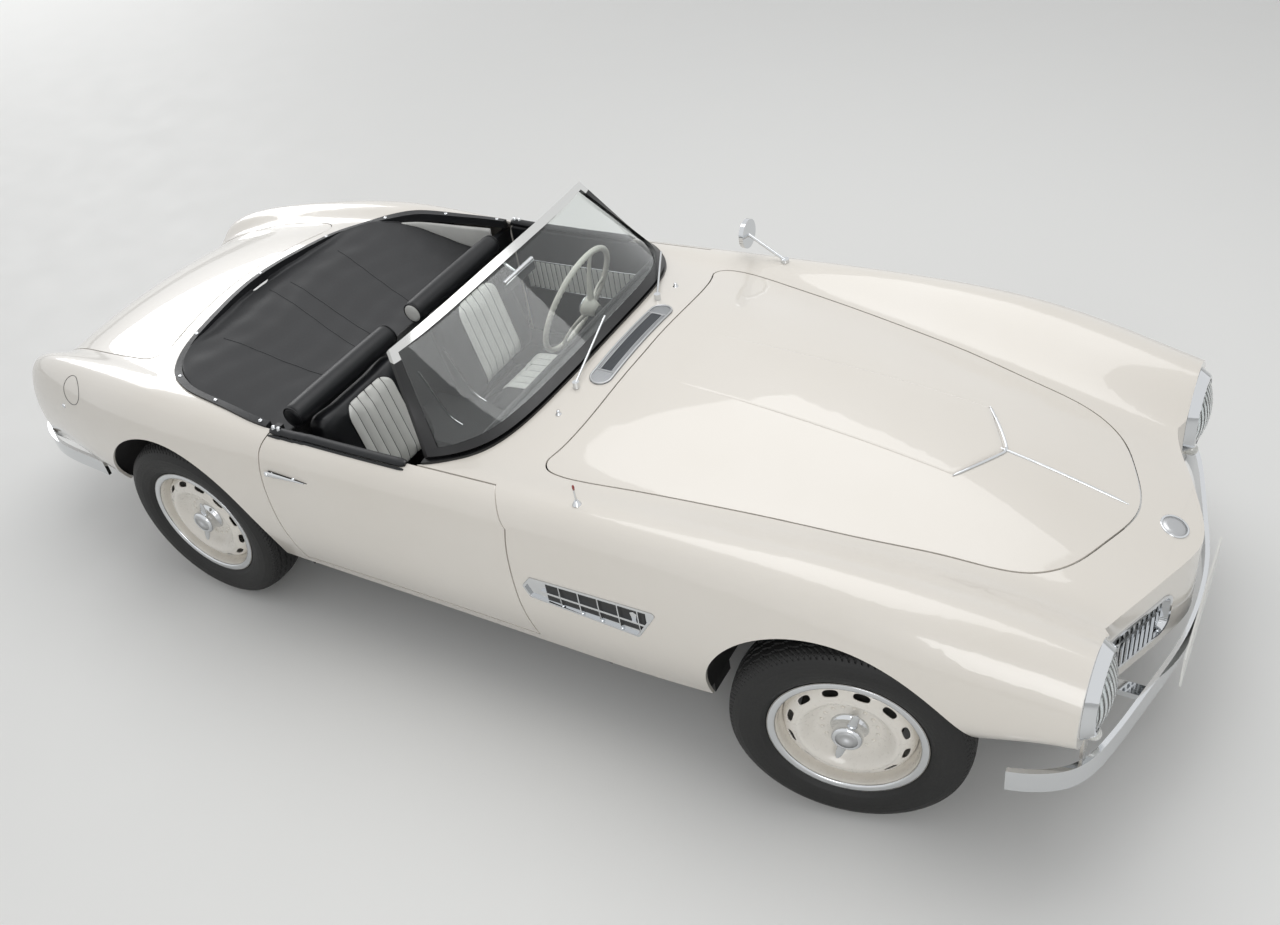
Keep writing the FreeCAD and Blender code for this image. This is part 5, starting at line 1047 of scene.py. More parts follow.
# %% [markdown]
# The inner sides of the well are lined with white hide. Forward of them, each door has a black hide
# lining with a white pleated panel, and a black padded roll along its top.
# %% Quarter panels
panel_x = np.linspace(-1.150, -0.672, 40)
panel_y = np.interp(panel_x, stations, half_width) - 0.004
for label, side in both_sides:
    foot = cover_height(panel_x, 1.0) - 0.006
    head = np.interp(panel_x, [-1.30, -1.10, -0.66], [0.846, 0.834, 0.822])
    rise = np.linspace(0.0, 1.0, 8)[None, :]
    height = foot[:, None] + (np.maximum(head - foot, 0.002))[:, None] * rise
    outer_face = np.stack(
        [panel_x[:, None] + 0 * rise, side * (panel_y[:, None] + 0.004 + 0 * rise), height], -1)
    inner_face = (
        outer_face - side * np.array([0.0, 0.0050, 0.0]) * (1 + 0.5 * np.sin(np.pi * rise))[..., None])
    quarter = slab("quarter_panel_" + label, inner_face, outer_face, white_hide)
print("quarter panels ready")

# %% [markdown]
# The door's inside is measured with rays from the cabin outwards, so the lining lies on the CAD door
# wherever that curves, and it rides on the door's own body so it swings with it.
# %% Door linings and top rolls
def door_trim(label, side):
    """Lining 8 mm thick on the door's inner face, a pleated panel on it, a roll and a welt on the top edge."""
    tree, body = skin_tree("door_" + label), "door_" + label
    x = np.linspace(-0.585, 0.300, 90)
    edge = []
    for place in x:
        for y in np.arange(0.640, 0.790, 0.002):
            hit = tree.ray_cast(Vector((place, side * y, 1.2)), Vector((0.0, 0.0, -1.0)), 0.45)[0]
            if hit is not None and hit.z > 0.79:
                edge.append((place, y, hit.z))
                break
    edge = np.array(edge)
    top_z = np.interp(x, edge[:, 0], edge[:, 2])
    upright = np.linspace(0.0, 1.0, 40)[None, :]
    z = 0.345 + (top_z[:, None] - 0.012 - 0.345) * upright
    starts = np.stack([x[:, None] + 0 * upright, side * 0.600 + 0 * z, z], -1)
    wall = met(tree, starts, (0.0, side, 0.0), 0.3)
    wall_y = np.abs(wall[..., 1])
    wall[..., 1] = side * np.minimum(wall_y, wall_y.min(0, keepdims=True) + 0.02)
    lining_face = wall - np.array([0.0, side * 0.0080, 0.0])
    lining = slab(
        "door_lining_" + label, lining_face, wall - np.array([0.0, side * 0.0008, 0.0]), black_hide, body)
    lining_tree = tree_of(lining)
    across = np.array([1.0, 0.0, 0.03])
    insert, ground = pleated(
        "door_panel_" + label, lining_tree, (-0.552, side * 0.640, 0.560), across / np.linalg.norm(across),
        (0.0, 0.0, 1.0), (0.0, side, 0.0), 0.600, 0.128, 24, 0.022, body, height=0.0045, clear=0.02, rows=24,
        fine=8)
    bead = np.vstack([ground[:, 0], ground[-1, 1:-1], ground[::-1, -1], ground[0, ::-1][1:-1]])
    bead = bead[np.concatenate([[True], np.linalg.norm(np.diff(bead, axis=0), axis=1) > 0.0015])]
    beading = tube("door_panel_bead_" + label, bead, 0.0030, chrome, body, 8, closed=True, up=(0, -side, 0))
    keep = edge[:, 0] < -0.015
    line = np.stack([edge[keep, 0], side * (edge[keep, 1] + 0.002), edge[keep, 2] + 0.001], -1)
    size = np.ones(len(line))
    size[:3], size[-3:] = (0.55, 0.85, 0.97), (0.97, 0.85, 0.55)
    roll = tube("door_top_roll_" + label, line, 0.0165, black_hide, body, 20, flat=0.75, size=size)
    second = line + np.array([0.0, side * 0.0195, 0.0])
    second[:, 2] = [
        tree.ray_cast(Vector((a, b, 1.2)), Vector((0.0, 0.0, -1.0)))[0].z + 0.001 for a, b, _ in second]
    welt = tube("door_top_welt_" + label, second, 0.0048, black_hide, body, 12, size=size)
    latch_profile = [
        (-0.004, 0.0), (-0.004, 0.0090), (0.0020, 0.0088), (0.0060, 0.0070), (0.0110, 0.0066),
        (0.0135, 0.0045), (0.0140, 0.0)]
    latch_spots = [line[2] + np.array([shift, 0.0, 0.008]) for shift in (0.0, 0.022)]
    latch = turned_row("door_latch_" + label, latch_profile, latch_spots, (0, 0, 1), chrome, body, 20)
    pull = smooth_path(
        [
            (-0.30, side * 0.6975, 0.500), (-0.29, side * 0.672, 0.502), (-0.22, side * 0.668, 0.508),
            (-0.15, side * 0.672, 0.502), (-0.14, side * 0.6975, 0.500)], 36)
    pull[:, 1] = side * np.minimum(np.abs(pull[:, 1]), np.abs(lining_face[..., 1]).max())
    strap = tube("door_pull_" + label, pull, 0.0075, black_hide, body, 12, flat=0.6)
    return edge


for label, side in both_sides:
    door_edge = door_trim(label, side)
    print("door", label, "edge", [round(v, 3) for v in door_edge[0]], [round(v, 3) for v in door_edge[-1]])

# %% [markdown]
# The hood's middle is raised by a few millimetres between two long creases. They run from the cowl to
# a bright V on the nose, from whose point a thin spear runs down the middle. All three follow the skin,
# so their places are dropped onto the CAD panels.
# %% Hood creases, V and spear
hood_tree = skin_tree("hood")
cowl_end, v_point, crease_lift = 0.472, 1.610, 0.0045


def crease_panel():
    """A low plateau: its lift rises over 7 to 8 mm at each side. Forward from the cowl it grows from nothing
    to 4.5 mm a little past halfway, and stays there up to the V."""
    u = np.concatenate(
        [np.linspace(-1.0, -0.94, 7)[:-1], np.linspace(-0.94, 0.94, 33), np.linspace(0.94, 1.0, 7)[1:]])[None, :]
    v = np.linspace(0.0, 1.0, 80)[:, None]
    half = 0.134 + 0.033 * v
    v_edge = v_point - 0.093 * np.abs(u)
    x = cowl_end + v * (v_edge - cowl_end)
    y = half * u
    ground = dropped(hood_tree, np.stack([x, y], -1).reshape(-1, 2)).reshape(*x.shape, 3)
    lift = (
        crease_lift * ease(v / 0.55) * np.sqrt(np.clip((1 - np.abs(u)) / 0.05, 0.0, 1.0))
        * np.clip((1 - v) / 0.01, 0.0, 1.0))
    top = ground + np.array([0.0, 0.0, 1.0]) * (lift - 0.0006)[..., None]
    return slab("hood_centre_panel", top, ground - np.array([0.0, 0.0, 0.0020]), ivory_paint, "hood")


centre_panel = crease_panel()
half_round = np.array(
    [
        (0.0042, -0.0020), (0.0040, 0.0012), (0.0026, 0.0034), (0.0, 0.0042), (-0.0026, 0.0034),
        (-0.0040, 0.0012), (-0.0042, -0.0020)])
legs = smooth_path(
    [
        (1.512, -0.170), (1.560, -0.098), (1.598, -0.034), (1.611, 0.0), (1.598, 0.034), (1.560, 0.098),
        (1.512, 0.170)], 90)
v_line = dropped(hood_tree, legs, 0.0018)
v_size = tapered(90, 5, 0.35)
v_points = carried(v_line, half_round, (0, 0, 1), size=v_size)
v_trim = surface("hood_v_trim", v_points, chrome, "hood", ring_columns=True, caps=True)
spear_line = dropped(hood_tree, np.stack([np.linspace(1.575, 1.957, 60), np.zeros(60)], -1), 0.0008)
spear_size = tapered(60, 8, 0.3)
spear_points = carried(spear_line, half_round, (0, 0, 1), size=spear_size)
spear = surface("hood_spear", spear_points, chrome, "hood", ring_columns=True, caps=True)
print("hood trims ready")

# %% [markdown]
# In front of the screen lies an air intake under fine wire mesh: a bright frame with round ends, two cross bars,
# two thin rails, and between them a thin sheet of dark gauze, painted shade of the opening. Beside it stand the
# two washer jets.
# %% Cowl intake and washer jets
cowl_tree = skin_tree("cowl_vent", "body_shell")
turn = np.linspace(-np.pi / 2, np.pi / 2, 18)
half_x, half_y, mid_x = 0.0355, 0.1960, 0.395
end_arc = np.stack([mid_x + half_x * np.sin(turn)[::-1], half_y + half_x * np.cos(turn)], -1)
loop = np.vstack(
    [
        end_arc, np.stack([np.full(30, mid_x - half_x), np.linspace(half_y, -half_y, 32)[1:-1]], -1),
        end_arc[::-1] * np.array([1.0, -1.0]),
        np.stack([np.full(30, mid_x + half_x), np.linspace(-half_y, half_y, 32)[1:-1]], -1)])
frame_line = dropped(cowl_tree, loop, 0.0010)
intake_frame = tube("cowl_intake_frame", frame_line, 0.0034, aluminium, sides=10, closed=True, flat=0.8)
bars = []
for k, y in enumerate((-0.170, 0.170)):
    line = dropped(
        cowl_tree, np.stack([np.linspace(mid_x - half_x, mid_x + half_x, 16), np.full(16, y)], -1), 0.0008)
    bars.append(tube(f"bar_{k}", line, 0.0024, aluminium, sides=8))
for k, x in enumerate((mid_x - 0.021, mid_x + 0.021)):
    line = dropped(cowl_tree, np.stack([np.full(40, x), np.linspace(-0.170, 0.170, 40)], -1), 0.0006)
    bars.append(tube(f"rail_{k}", line, 0.0016, aluminium, sides=8))
intake_bars = joined("cowl_intake_bars", bars)
# A thin sheet of darkened gauze over the opening between the rails: painted shade of the duct below.
gx, gy = np.meshgrid(
    np.linspace(mid_x - 0.021, mid_x + 0.021, 8), np.linspace(-0.169, 0.169, 60), indexing="ij")
gauze = dropped(cowl_tree, np.stack([gx, gy], -1).reshape(-1, 2), 0.0).reshape(8, 60, 3)
gauze_shade_sheet = slab(
    "cowl_intake_gauze_shade", gauze + np.array([0, 0, 0.0007]), gauze - np.array([0, 0, 0.0015]), gauze_with_painted_duct_shade)
jet_profile = [
    (-0.0020, 0.0), (-0.0020, 0.0100), (0.0020, 0.0096), (0.0040, 0.0070), (0.0060, 0.0062), (0.0110, 0.0058),
    (0.0140, 0.0040), (0.0148, 0.0)]
jet_spots = dropped(skin_tree("body_shell"), [(0.347, -0.384), (0.347, 0.384)])
washer_jets = turned_row("washer_jets", jet_profile, jet_spots, (0.0, 0.0, 1.0), chrome)
tip = turned(
    "antenna_tip",
    [(-0.010, 0.0), (-0.010, 0.0034), (-0.002, 0.0040), (0.003, 0.0036), (0.007, 0.0020), (0.008, 0.0)],
    (0.600, -0.698, 0.932), (0, 0, 1), red_lens, sides=20, closed=False)
print("cowl dressed")

# %% [markdown]
# The steering wheel is moulded ivory plastic on a steel core: a thin rim with finger grips on its far
# side, three spokes that widen towards the hub, and a round horn button. It rides on the steering body,
# so it turns with the front wheels.
# %% Steering wheel
wheel_joint = [joint for joint in frame["joints"] if joint["name"] == "steering_wheel_turn"][0]
wheel_middle = np.array(wheel_joint["pos_m"])
wheel_axis = np.array(wheel_joint["axis"])
wheel_axis = wheel_axis / np.linalg.norm(wheel_axis) * (1.0 if wheel_axis[0] < 0 else -1.0)
wheel_side = np.array([0.0, 1.0, 0.0])
wheel_top = np.cross(wheel_side, wheel_axis)
wheel_top = wheel_top * (1.0 if wheel_top[2] > 0 else -1.0)
rim_radius, rim_tube = 0.205, 0.0112


def on_wheel(turn, radius, lift=0.0):
    """Point at a turn from the wheel's right hand, a radius from its middle and a lift towards the driver."""
    turn = np.asarray(turn, float)
    return (
        wheel_middle + np.asarray(radius)[..., None]
        * (np.cos(turn)[..., None] * -wheel_side + np.sin(turn)[..., None] * wheel_top)
        + np.asarray(lift)[..., None] * wheel_axis)


turn = whole_turn(480)[:, None]
around = whole_turn(20)[None, :]
scallop = 0.20 * (0.5 + 0.5 * np.cos(turn * 60)) * np.clip(-np.sin(around), 0.0, 1.0)
ring = rim_tube * (1.0 - scallop)
rim_points = on_wheel(turn + 0 * around, rim_radius + ring * np.cos(around), ring * np.sin(around))
wheel_rim = surface(
    "steering_rim", rim_points, ivory_plastic, "steering_wheel", ring_rows=True, ring_columns=True)

spokes = []
for k, degrees in enumerate((100.0, 190.0, 280.0)):
    aim = math.radians(degrees)
    run = np.linspace(0.0, 1.0, 30)
    radius = 0.022 + run * (rim_radius - 0.004 - 0.022)
    lift = -0.055 * (1 - run) ** 1.6
    path = on_wheel(np.full(30, aim), radius, lift)
    width = 1.0 + 0.9 * (1 - run) ** 2 + 0.5 * np.clip((run - 0.86) / 0.14, 0, 1) ** 2
    spokes.append(
        tube(
            f"spoke_{k}", path, 0.0115, ivory_plastic, "steering_wheel", 16, up=wheel_axis, flat=0.45,
            size=width))
hub = turned(
    "hub_shell",
    [
        (-0.088, 0.0), (-0.088, 0.0240), (-0.070, 0.0300), (-0.052, 0.0380), (-0.042, 0.0400),
        (-0.036, 0.0370), (-0.035, 0.0)], wheel_middle, wheel_axis, ivory_plastic, "steering_wheel", 48,
    closed=False)
wheel_spokes = joined("steering_spokes_and_hub", spokes + [hub])
button = turned(
    "horn_button",
    [(-0.036, 0.0), (-0.036, 0.0300), (-0.033, 0.0310), (-0.028, 0.0285), (-0.024, 0.0200), (-0.0225, 0.0)],
    wheel_middle, wheel_axis, black_hide, "steering_wheel", 48, closed=False)
button_ring = turned(
    "horn_button_ring", [(-0.0355, 0.0300), (-0.0320, 0.0345), (-0.0290, 0.0330), (-0.0310, 0.0295)],
    wheel_middle, wheel_axis, chrome, "steering_wheel", 48)
for piece in (wheel_rim, wheel_spokes, button, button_ring):
    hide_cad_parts("steering_wheel")
print("steering wheel centre", wheel_middle.round(3), "axis", wheel_axis.round(3))

# %% [markdown]
# The dash panel is black hide with a padded roll along its brow. Two large round dials and a small
# one face the driver, a clock-sized one sits in the middle, and there is a row of ivory knobs and a bare
# glovebox lid. A dial is a chrome bezel, a black face with raised ticks and a needle, so the
# numbers can be left out.
# %% Dashboard
dash_tree = skin_tree("dashboard")
cabin_x = -0.2
dash_hits = met(dash_tree, [(cabin_x, y, z) for y in (0.34, 0.0) for z in (0.74, 0.82)], (1.0, 0.0, 0.0), 1.0)
print("dash face x at z 0.74 and 0.82:", dash_hits[:2, 0].round(3))
dash_lean = dash_hits[1] - dash_hits[0]
dash_lean = dash_lean / np.linalg.norm(dash_lean)
dash_out = np.array([-dash_lean[2], 0.0, dash_lean[0]])


def on_dash(y, z):
    """Where a line from the cabin meets the dash."""
    return met(dash_tree, [(cabin_x, y, z)], (1.0, 0.0, 0.0), 1.0)[0]


def dial(name, y, z, radius):
    """A turned bezel and face with ticks and a needle on the face; all lie on the dash's own plane."""
    spot = on_dash(y, z)
    bezel = turned(
        name + "_bezel",
        [
            (-0.004, radius), (0.006, radius), (0.009, radius - 0.002), (0.008, radius - 0.006),
            (0.003, radius - 0.007), (-0.004, radius - 0.007)], spot, dash_out, chrome, sides=48)
    face = turned(
        name + "_face", [(-0.003, 0.0), (-0.003, radius - 0.006), (0.003, radius - 0.0065), (0.0032, 0.0)],
        spot, dash_out, seal_rubber, sides=48, closed=False)
    side_way = np.array([0.0, 1.0, 0.0])
    marks = []
    for k in range(13):
        aim = math.radians(-130 + 260 * k / 12)
        way = math.sin(aim) * -side_way + math.cos(aim) * dash_lean
        path = spot + dash_out * 0.0036 + np.linspace(radius * 0.70, radius * 0.84, 3)[:, None] * way
        marks.append(tube(f"{name}_tick_{k}", path, 0.0009, ivory_plastic, sides=6, up=dash_out))
    aim = math.radians(-118)
    way = math.sin(aim) * -side_way + math.cos(aim) * dash_lean
    needle = spot + dash_out * 0.0052 + np.linspace(-radius * 0.12, radius * 0.72, 6)[:, None] * way
    marks.append(tube(name + "_needle", needle, 0.0011, ivory_plastic, sides=6, up=dash_out))
    marks.append(
        turned(
            name + "_boss", [(0.002, 0.0), (0.002, 0.0045), (0.0065, 0.0040), (0.0072, 0.0)], spot, dash_out,
            ivory_plastic, sides=16, closed=False))
    joined(name + "_marks", marks)


dial("speed_dial", 0.425, 0.800, 0.052)
dial("engine_dial", 0.255, 0.800, 0.052)
dial("clock_dial", 0.060, 0.810, 0.040)
dial("fuel_dial", 0.340, 0.745, 0.026)
knob_spots = [on_dash(y, 0.735) for y in (0.150, 0.060, -0.030, -0.120, 0.520)]
stem_profile = [
    (-0.002, 0.0), (-0.002, 0.0105), (0.002, 0.0100), (0.003, 0.0050), (0.014, 0.0045), (0.014, 0.0)]
knob_profile = [
    (0.013, 0.0), (0.013, 0.0070), (0.017, 0.0100), (0.023, 0.0105), (0.026, 0.0085), (0.0265, 0.0)]
knob_stems = turned_row("dash_knob_stems", stem_profile, knob_spots, dash_out, chrome, sides=20)
dash_knobs = turned_row("dash_knobs", knob_profile, knob_spots, dash_out, ivory_plastic)
box_loop = smooth_path(
    [
        (-0.545, 0.735), (-0.400, 0.725), (-0.250, 0.735), (-0.240, 0.790), (-0.250, 0.845), (-0.400, 0.850),
        (-0.545, 0.845), (-0.555, 0.790)], 120, closed=True)
box_line = met(
    dash_tree, np.stack([np.full(120, cabin_x), box_loop[:, 0], box_loop[:, 1]], -1), (1.0, 0.0, 0.0),
    1.0) + dash_out * 0.0005
glovebox = tube("glovebox_seam", box_line, 0.0022, seal_rubber, sides=8, closed=True, up=dash_out)
lock_spot = on_dash(-0.395, 0.828)
glovebox_lock = turned(
    "glovebox_lock", [(-0.002, 0.0), (-0.002, 0.0110), (0.003, 0.0105), (0.006, 0.0080), (0.0065, 0.0)],
    lock_spot, dash_out, chrome, sides=24, closed=False)
grab = smooth_path(
    [
        (0.0, -0.52, 0.775), (-0.034, -0.51, 0.775), (-0.040, -0.45, 0.775), (-0.040, -0.35, 0.775),
        (-0.034, -0.29, 0.775), (0.0, -0.28, 0.775)], 50)
grab[:, 0] += float(on_dash(-0.40, 0.775)[0])
grab_handle = tube("grab_handle", grab, 0.0085, ivory_plastic, sides=14)
brow_y = np.linspace(-0.630, 0.630, 90)
brow = met(dash_tree, np.stack([np.full(90, cabin_x), brow_y, np.full(90, 0.874)], -1), (1.0, 0.0, 0.0), 1.0)
brow_size = tapered(90, 3, 0.4)
brow_roll = tube(
    "dash_brow_roll", brow + np.array([0.004, 0.0, 0.0]), 0.0145, black_hide, sides=18, size=brow_size)
print("dashboard dressed")

# %% [markdown]
# The floor has loop carpet, the lever has a pleated gaiter, and three pedals hang on the driver's side.
# %% Carpets, gaiter and pedals
floor_tree = skin_tree("floor_pan")
for label, side in both_sides:
    gx, gy = np.meshgrid(np.linspace(-0.620, 0.585, 60), np.linspace(0.142, 0.640, 26), indexing="ij")
    ground = met(floor_tree, np.stack([gx, side * gy, np.full_like(gx, 0.290)], -1), (0.0, 0.0, -1.0), 0.2)
    ground[..., 0], ground[..., 1] = gx, side * gy
    pile = 0.0090 + 0.0006 * np.sin(gx * 310) * np.sin(gy * 290)
    mat = slab(
        "floor_carpet_" + label, ground + pile[..., None] * np.array([0, 0, 1.0]),
        ground + np.array([0, 0, 0.0005]), carpet)
gaiter_turn = whole_turn(40)[:, None]
rise = np.linspace(0.0, 1.0, 40)[None, :]
gaiter_r = 0.052 * (1 - rise) ** 0.8 + 0.013 + 0.0035 * np.sin(rise * 2 * np.pi * 5)
gaiter = np.stack(
    [
        0.006 + 0.020 * rise + gaiter_r * np.cos(gaiter_turn), gaiter_r * np.sin(gaiter_turn) + 0 * rise,
        0.4005 + 0.062 * rise + 0 * gaiter_turn], -1)
boot = surface("gear_gaiter", gaiter.transpose(1, 0, 2), black_hide, ring_columns=True, caps=True)
pads, arms = [], []
for k, (y, width) in enumerate(((0.245, 0.030), (0.345, 0.034), (0.455, 0.034))):
    u = np.linspace(-1.0, 1.0, 15)[:, None]
    v = np.linspace(-1.0, 1.0, 19)[None, :]
    tall = 0.060 if k == 0 else 0.032
    middle = np.array([0.470, y, 0.360])
    lean = np.array([0.42, 0.0, 0.91])
    facing = np.array([-0.91, 0.0, 0.42])
    ribs = 0.0018 * (np.cos(v * 9 * np.pi) > 0) * (np.abs(u) < 0.85) + 0 * u
    rounded = np.sqrt(np.clip(1 - np.maximum(np.abs(u), np.abs(v)) ** 12, 0.0, 1.0))
    grid = (
        middle + (u * width + 0 * v)[..., None] * np.array([0, 1.0, 0]) + (v * tall + 0 * u)[..., None]
        * lean)
    pads.append(
        slab(
            f"pedal_pad_{k}", grid + (0.004 * rounded + ribs + 0.001)[..., None] * facing,
            grid - 0.006 * facing, seal_rubber))
    path = smooth_path(
        [
            middle - 0.008 * facing, middle + np.array([0.050, 0.0, 0.060]), (0.560, y, 0.500),
            (0.585, y, 0.640)], 24)
    arms.append(tube(f"pedal_arm_{k}", path, 0.0075, chassis_paint, sides=10, up=(0, 1, 0), flat=0.6))
joined("pedal_pads", pads)
joined("pedal_arms", arms)
print("cabin floor dressed")

# %% [markdown]
# Between the two grilles the nose is one smooth panel. The CAD skin leaves a slit there, so a thin
# painted panel closes it: rays from the front find the slit's two lips, and a straight strip joins them.
# %% Nose panel
shell_tree = skin_tree("body_shell")
slit_half_width, slit_low, slit_high = 0.300, 0.600, 0.690
nose_y = np.linspace(-slit_half_width, slit_half_width, 151)
nose_z = np.arange(slit_low, slit_high, 0.001)
lips = []
for y in nose_y:
    starts = [Vector((2.6, y, z)) for z in nose_z]
    seen_x = np.array(
        [(shell_tree.ray_cast(s, Vector((-1.0, 0.0, 0.0)))[0] or Vector((0, 0, 0))).x for s in starts])
    solid = np.nonzero(seen_x > 2.0)[0]
    jump = np.nonzero(np.diff(solid) > 1)[0]
    if len(jump):
        low, high = solid[jump[-1]], solid[jump[-1] + 1]
        lips.append((y, seen_x[low], nose_z[low], seen_x[high], nose_z[high]))
lips = np.array([lips[0]] + lips + [lips[-1]])
lips[0, 0], lips[-1, 0] = lips[0, 0] - 0.004, lips[-1, 0] + 0.004
print(
    "nose slit:", len(lips), "places", lips[:, 0].min().round(3), lips[:, 0].max().round(3), "z",
    lips[:, 2].min().round(3), lips[:, 4].max().round(3), "x", lips[:, 1].min().round(3),
    lips[:, 3].min().round(3))
rise = np.linspace(-0.08, 1.08, 22)[None, :]
panel_x = lips[:, 1, None] * (1 - rise) + lips[:, 3, None] * rise - 0.0012
panel_z = lips[:, 2, None] * (1 - rise) + lips[:, 4, None] * rise
nose_top = np.stack([panel_x, lips[:, 0, None] + 0 * rise, panel_z], -1)
nose_panel = slab("nose_panel", nose_top, nose_top - np.array([0.0022, 0.0, 0.0]), ivory_paint)

# %% [markdown]
# The nose carries a small domed disc in a bright ring, above its edge and tipped with the skin. It is
# left bare.
# %% Nose disc
nose_spot = np.array([2.0820, 0.0, 0.6590])
nose_way = (0.325, 0.0, 0.946)
ring = turned(
    "nose_ring",
    [
        (-0.0040, 0.0), (-0.0040, 0.0405), (0.0010, 0.0412), (0.0030, 0.0404), (0.0036, 0.0382),
        (0.0026, 0.0356), (0.0022, 0.0)], nose_spot, nose_way, chrome, sides=96, closed=False)
dome = turned(
    "nose_disc", [(0.0010, 0.0), (0.0010, 0.0352), (0.0030, 0.0350), (0.0042, 0.0200), (0.0046, 0.0)],
    nose_spot, nose_way, aluminium, sides=96, closed=False)
print("nose disc at", nose_spot)

# %% [markdown]
# A headlamp shows its bright bowl and bulb through the fluted glass. The bowl is a parabola: its depth
# grows with the square of its radius.
# %% Lamp bowls and bulbs
for label, side in both_sides:
    lamp_spot = (2.0400, side * 0.606, 0.613)
    r = np.linspace(0.012, 0.1010, 24)
    inside = np.stack([-0.066 * (1 - (r / 0.1010) ** 2), r], -1)
    outside = inside[::-1] + np.array([-0.003, 0.0])
    bowl = turned("lamp_bowl_" + label, np.vstack([inside, outside]), lamp_spot, (1, 0, 0), chrome, sides=64)
    bulb = turned(
        "lamp_bulb_" + label,
        [
            (-0.068, 0.0), (-0.068, 0.0115), (-0.052, 0.0115), (-0.050, 0.0090), (-0.040, 0.0120),
            (-0.030, 0.0110), (-0.022, 0.0060), (-0.020, 0.0)], lamp_spot, (1, 0, 0), white_lens, sides=32,
        closed=False)
print("lamps ready")

# %% [markdown]
# The door handle is a slim chrome blade that tapers to a point, over a flat black strip that is painted
# shade of its recess, with a push button at its thick end. It replaces the plain CAD bar.
# %% Door handles
for label, side in both_sides:
    body = "door_" + label
    door_skin = skin_tree("door_" + label)
    x = np.linspace(-0.574, -0.402, 40)
    ground = met(
        door_skin, np.stack([x, np.full(40, side * 1.0), np.full(40, 0.737)], -1), (0.0, -side, 0.0), 0.5)
    run = (x - x[0]) / (x[-1] - x[0])
    width = np.clip(1.0 - 0.82 * run, 0.10, 1.0) * np.sqrt(np.clip(run / 0.05, 0.15, 1.0))
    # A flat black strip under the blade: painted shade of the handle's recess.
    recess_shade_strip = tube(
        "door_handle_recess_" + label, ground + np.array([0.004, side * 0.0004, -0.0035]), 0.0150,
        seal_rubber, body, 20, up=(0, side, 0), flat=0.14, size=width)
    blade = tube(
        "door_handle_blade_" + label, ground + np.array([0.0, side * 0.0085, 0.002]), 0.0105, chrome, body,
        20, up=(0, side, 0), flat=0.62, size=width)
    spot = ground[3] + np.array([0.0, side * 0.012, 0.002])
    press = turned(
        "door_button_" + label,
        [
            (-0.010, 0.0), (-0.010, 0.0070), (0.0030, 0.0070), (0.0050, 0.0058), (0.0058, 0.0030),
            (0.0060, 0.0)], spot, (0, side, 0), chrome, body, 24, closed=False)
    feet = [
        turned(
            f"foot_{label}_{k}", [(-0.011, 0.0), (-0.011, 0.0060), (0.004, 0.0050), (0.004, 0.0)],
            ground[k] + np.array([0.0, side * 0.004, 0.002]), (0, side, 0), chrome, body, 16, closed=False)
        for k in (6, 27)]
    handle = joined("door_handle_" + label + "_parts", [blade, press] + feet)
    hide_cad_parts("door_handle_" + label)
    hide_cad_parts("door_handle_" + label)

# %% [markdown]
# The side vents are chrome frames; behind their fins a thin black sheet is painted shade of the hollow. The fuel
# flap and its lock are on the right rear fender, and the wing mirror has a silvered face.
# %% Vent shade sheets, fuel flap and mirror face
vent_skin = skin_tree("side_vents")
for label, side in both_sides:
    gx, gz = np.meshgrid(np.linspace(0.506, 0.850, 60), np.linspace(0.0, 1.0, 24), indexing="ij")
    vent_z = 0.556 + (0.628 - 0.556 + 0.010 * (gx - 0.506) / 0.344) * gz
    seen = met(vent_skin, np.stack([gx, np.full_like(gx, side * 1.0), vent_z], -1), (0.0, -side, 0.0), 0.4)
    plate = np.abs(seen[..., 1]).min(axis=1, keepdims=True)
    back = np.stack([gx, side * (plate + 0.0012) + 0 * gx, vent_z], -1)
    # A thin black sheet behind the fins: painted shade of the vent's hollow.
    vent_shade_sheet = slab("vent_painted_shade_" + label, back, back - np.array([0.0, side * 0.0008, 0.0]), seal_rubber)
    print("vent back", label, plate.min().round(4), plate.max().round(4))
flap_turn = whole_turn(80)
fender_tree = skin_tree("body_shell")
flap = np.stack(
    [-1.6150 + 0.060 * np.cos(flap_turn), np.full(80, -1.2), 0.772 + 0.040 * np.sin(flap_turn)], -1)
flap_line = met(fender_tree, flap, (0.0, 1.0, 0.0), 0.8)
flap_seam = tube("fuel_flap_seam", flap_line, 0.0013, seal_rubber, sides=8, closed=True, up=(0, -1, 0))
lock = met(fender_tree, [(-1.679, -1.2, 0.703)], (0.0, 1.0, 0.0), 0.8)[0]
fuel_lock = turned(
    "fuel_flap_lock", [(-0.002, 0.0), (-0.002, 0.0095), (0.003, 0.0090), (0.005, 0.0065), (0.0055, 0.0)],
    lock, (0, -1, 0), chrome, sides=24, closed=False)
glass_disc = [(-0.0004, 0.0), (-0.0004, 0.0455), (0.0008, 0.0450), (0.0016, 0.0300), (0.0020, 0.0)]
mirror_face = turned(
    "wing_mirror_glass", glass_disc, (0.4745, 0.688, 0.962), (-1, 0, 0), mirror_silver, sides=64,
    closed=False)
print("fuel flap and mirror ready")

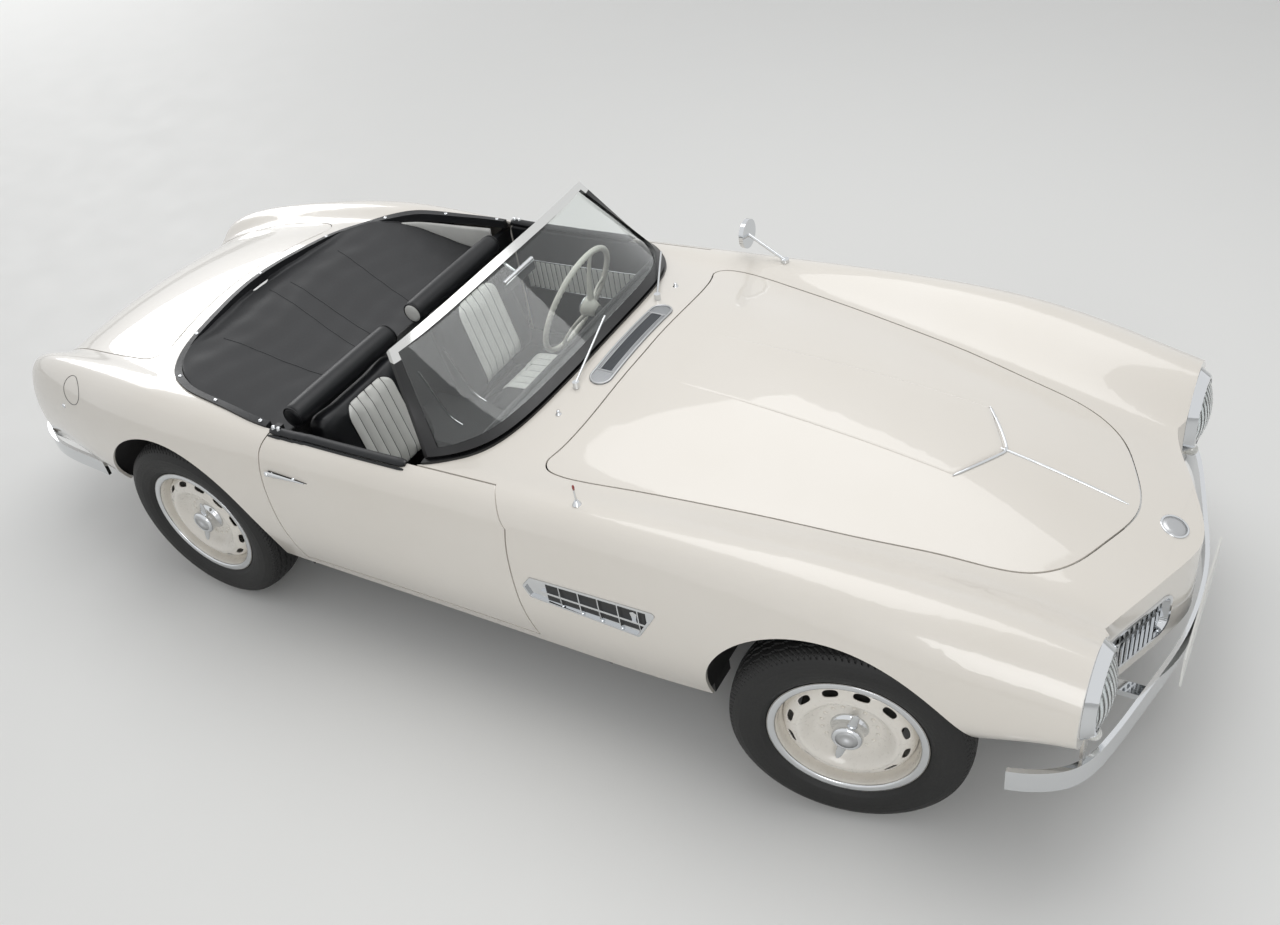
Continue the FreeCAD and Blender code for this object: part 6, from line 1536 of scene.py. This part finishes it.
# %% [markdown]
# The studio is a pale floor with three broad lamps: above, at the front right and far behind at the left.
# The sky is at full strength where the camera, a reflection or glass sees it, and at 0.55 where it only
# lights the car.
# %% Studio floor, lamps and sky
floor_finish, shader, place = start("pale_studio_floor", "#E9E9E7", 0.6)
worn(floor_finish, shader, place, 4.0, 0.5, 0.7)
span = np.linspace(-80.0, 80.0, 2)
gx, gy = np.meshgrid(span, span, indexing="ij")
floor_points = np.stack([gx, gy, np.full_like(gx, -0.0005)], -1).reshape(-1, 3)
floor_mesh = bpy.data.meshes.new("studio_floor")
floor_mesh.from_pydata(floor_points.tolist(), [], [[0, 2, 3, 1]])
floor_mesh.materials.append(floor_finish)
floor = bpy.data.objects.new("studio_floor", floor_mesh)
bpy.context.scene.collection.objects.link(floor)


def soft_lamp(name, place, target, size, power):
    """A square lamp at a place, facing a target, both in metres."""
    data = bpy.data.lights.new(name, "AREA")
    data.shape, data.size, data.energy = "SQUARE", size, power
    lamp = bpy.data.objects.new(name, data)
    lamp.location = place
    lamp.rotation_mode = "QUATERNION"
    lamp.rotation_quaternion = (Vector(target) - Vector(place)).to_track_quat("-Z", "Y")
    bpy.context.scene.collection.objects.link(lamp)


soft_lamp("overhead_lamp", (0.5, 1.0, 5.5), (0.0, 0.0, 0.6), 4.5, 120.0)
soft_lamp("side_lamp", (3.5, -5.0, 3.2), (0.3, 0.0, 0.6), 2.5, 65.0)
soft_lamp("rear_lamp", (-11.0, 5.5, 5.0), (-0.5, 0.0, 0.6), 5.0, 260.0)

lighting_strength = 0.55
sky = bpy.data.worlds.new("soft_sky")
bpy.context.scene.world = sky
sky.use_nodes = True
rays = add(sky, "ShaderNodeLightPath").outputs
seen = add(
    sky, "ShaderNodeMath", None, {0: rays["Is Camera Ray"], 1: rays["Is Glossy Ray"]}, operation="MAXIMUM")
either = add(
    sky, "ShaderNodeMath", None, {0: seen.outputs[0], 1: rays["Is Transmission Ray"]}, operation="MAXIMUM")
level = add(
    sky, "ShaderNodeMapRange", {"To Min": lighting_strength, "To Max": 1.0}, {"Value": either.outputs[0]})
glow = sky.node_tree.nodes["Background"]
glow.inputs["Color"].default_value = linear("#F4F5F6")
sky.node_tree.links.new(level.outputs["Result"], glow.inputs["Strength"])
print("studio ready")
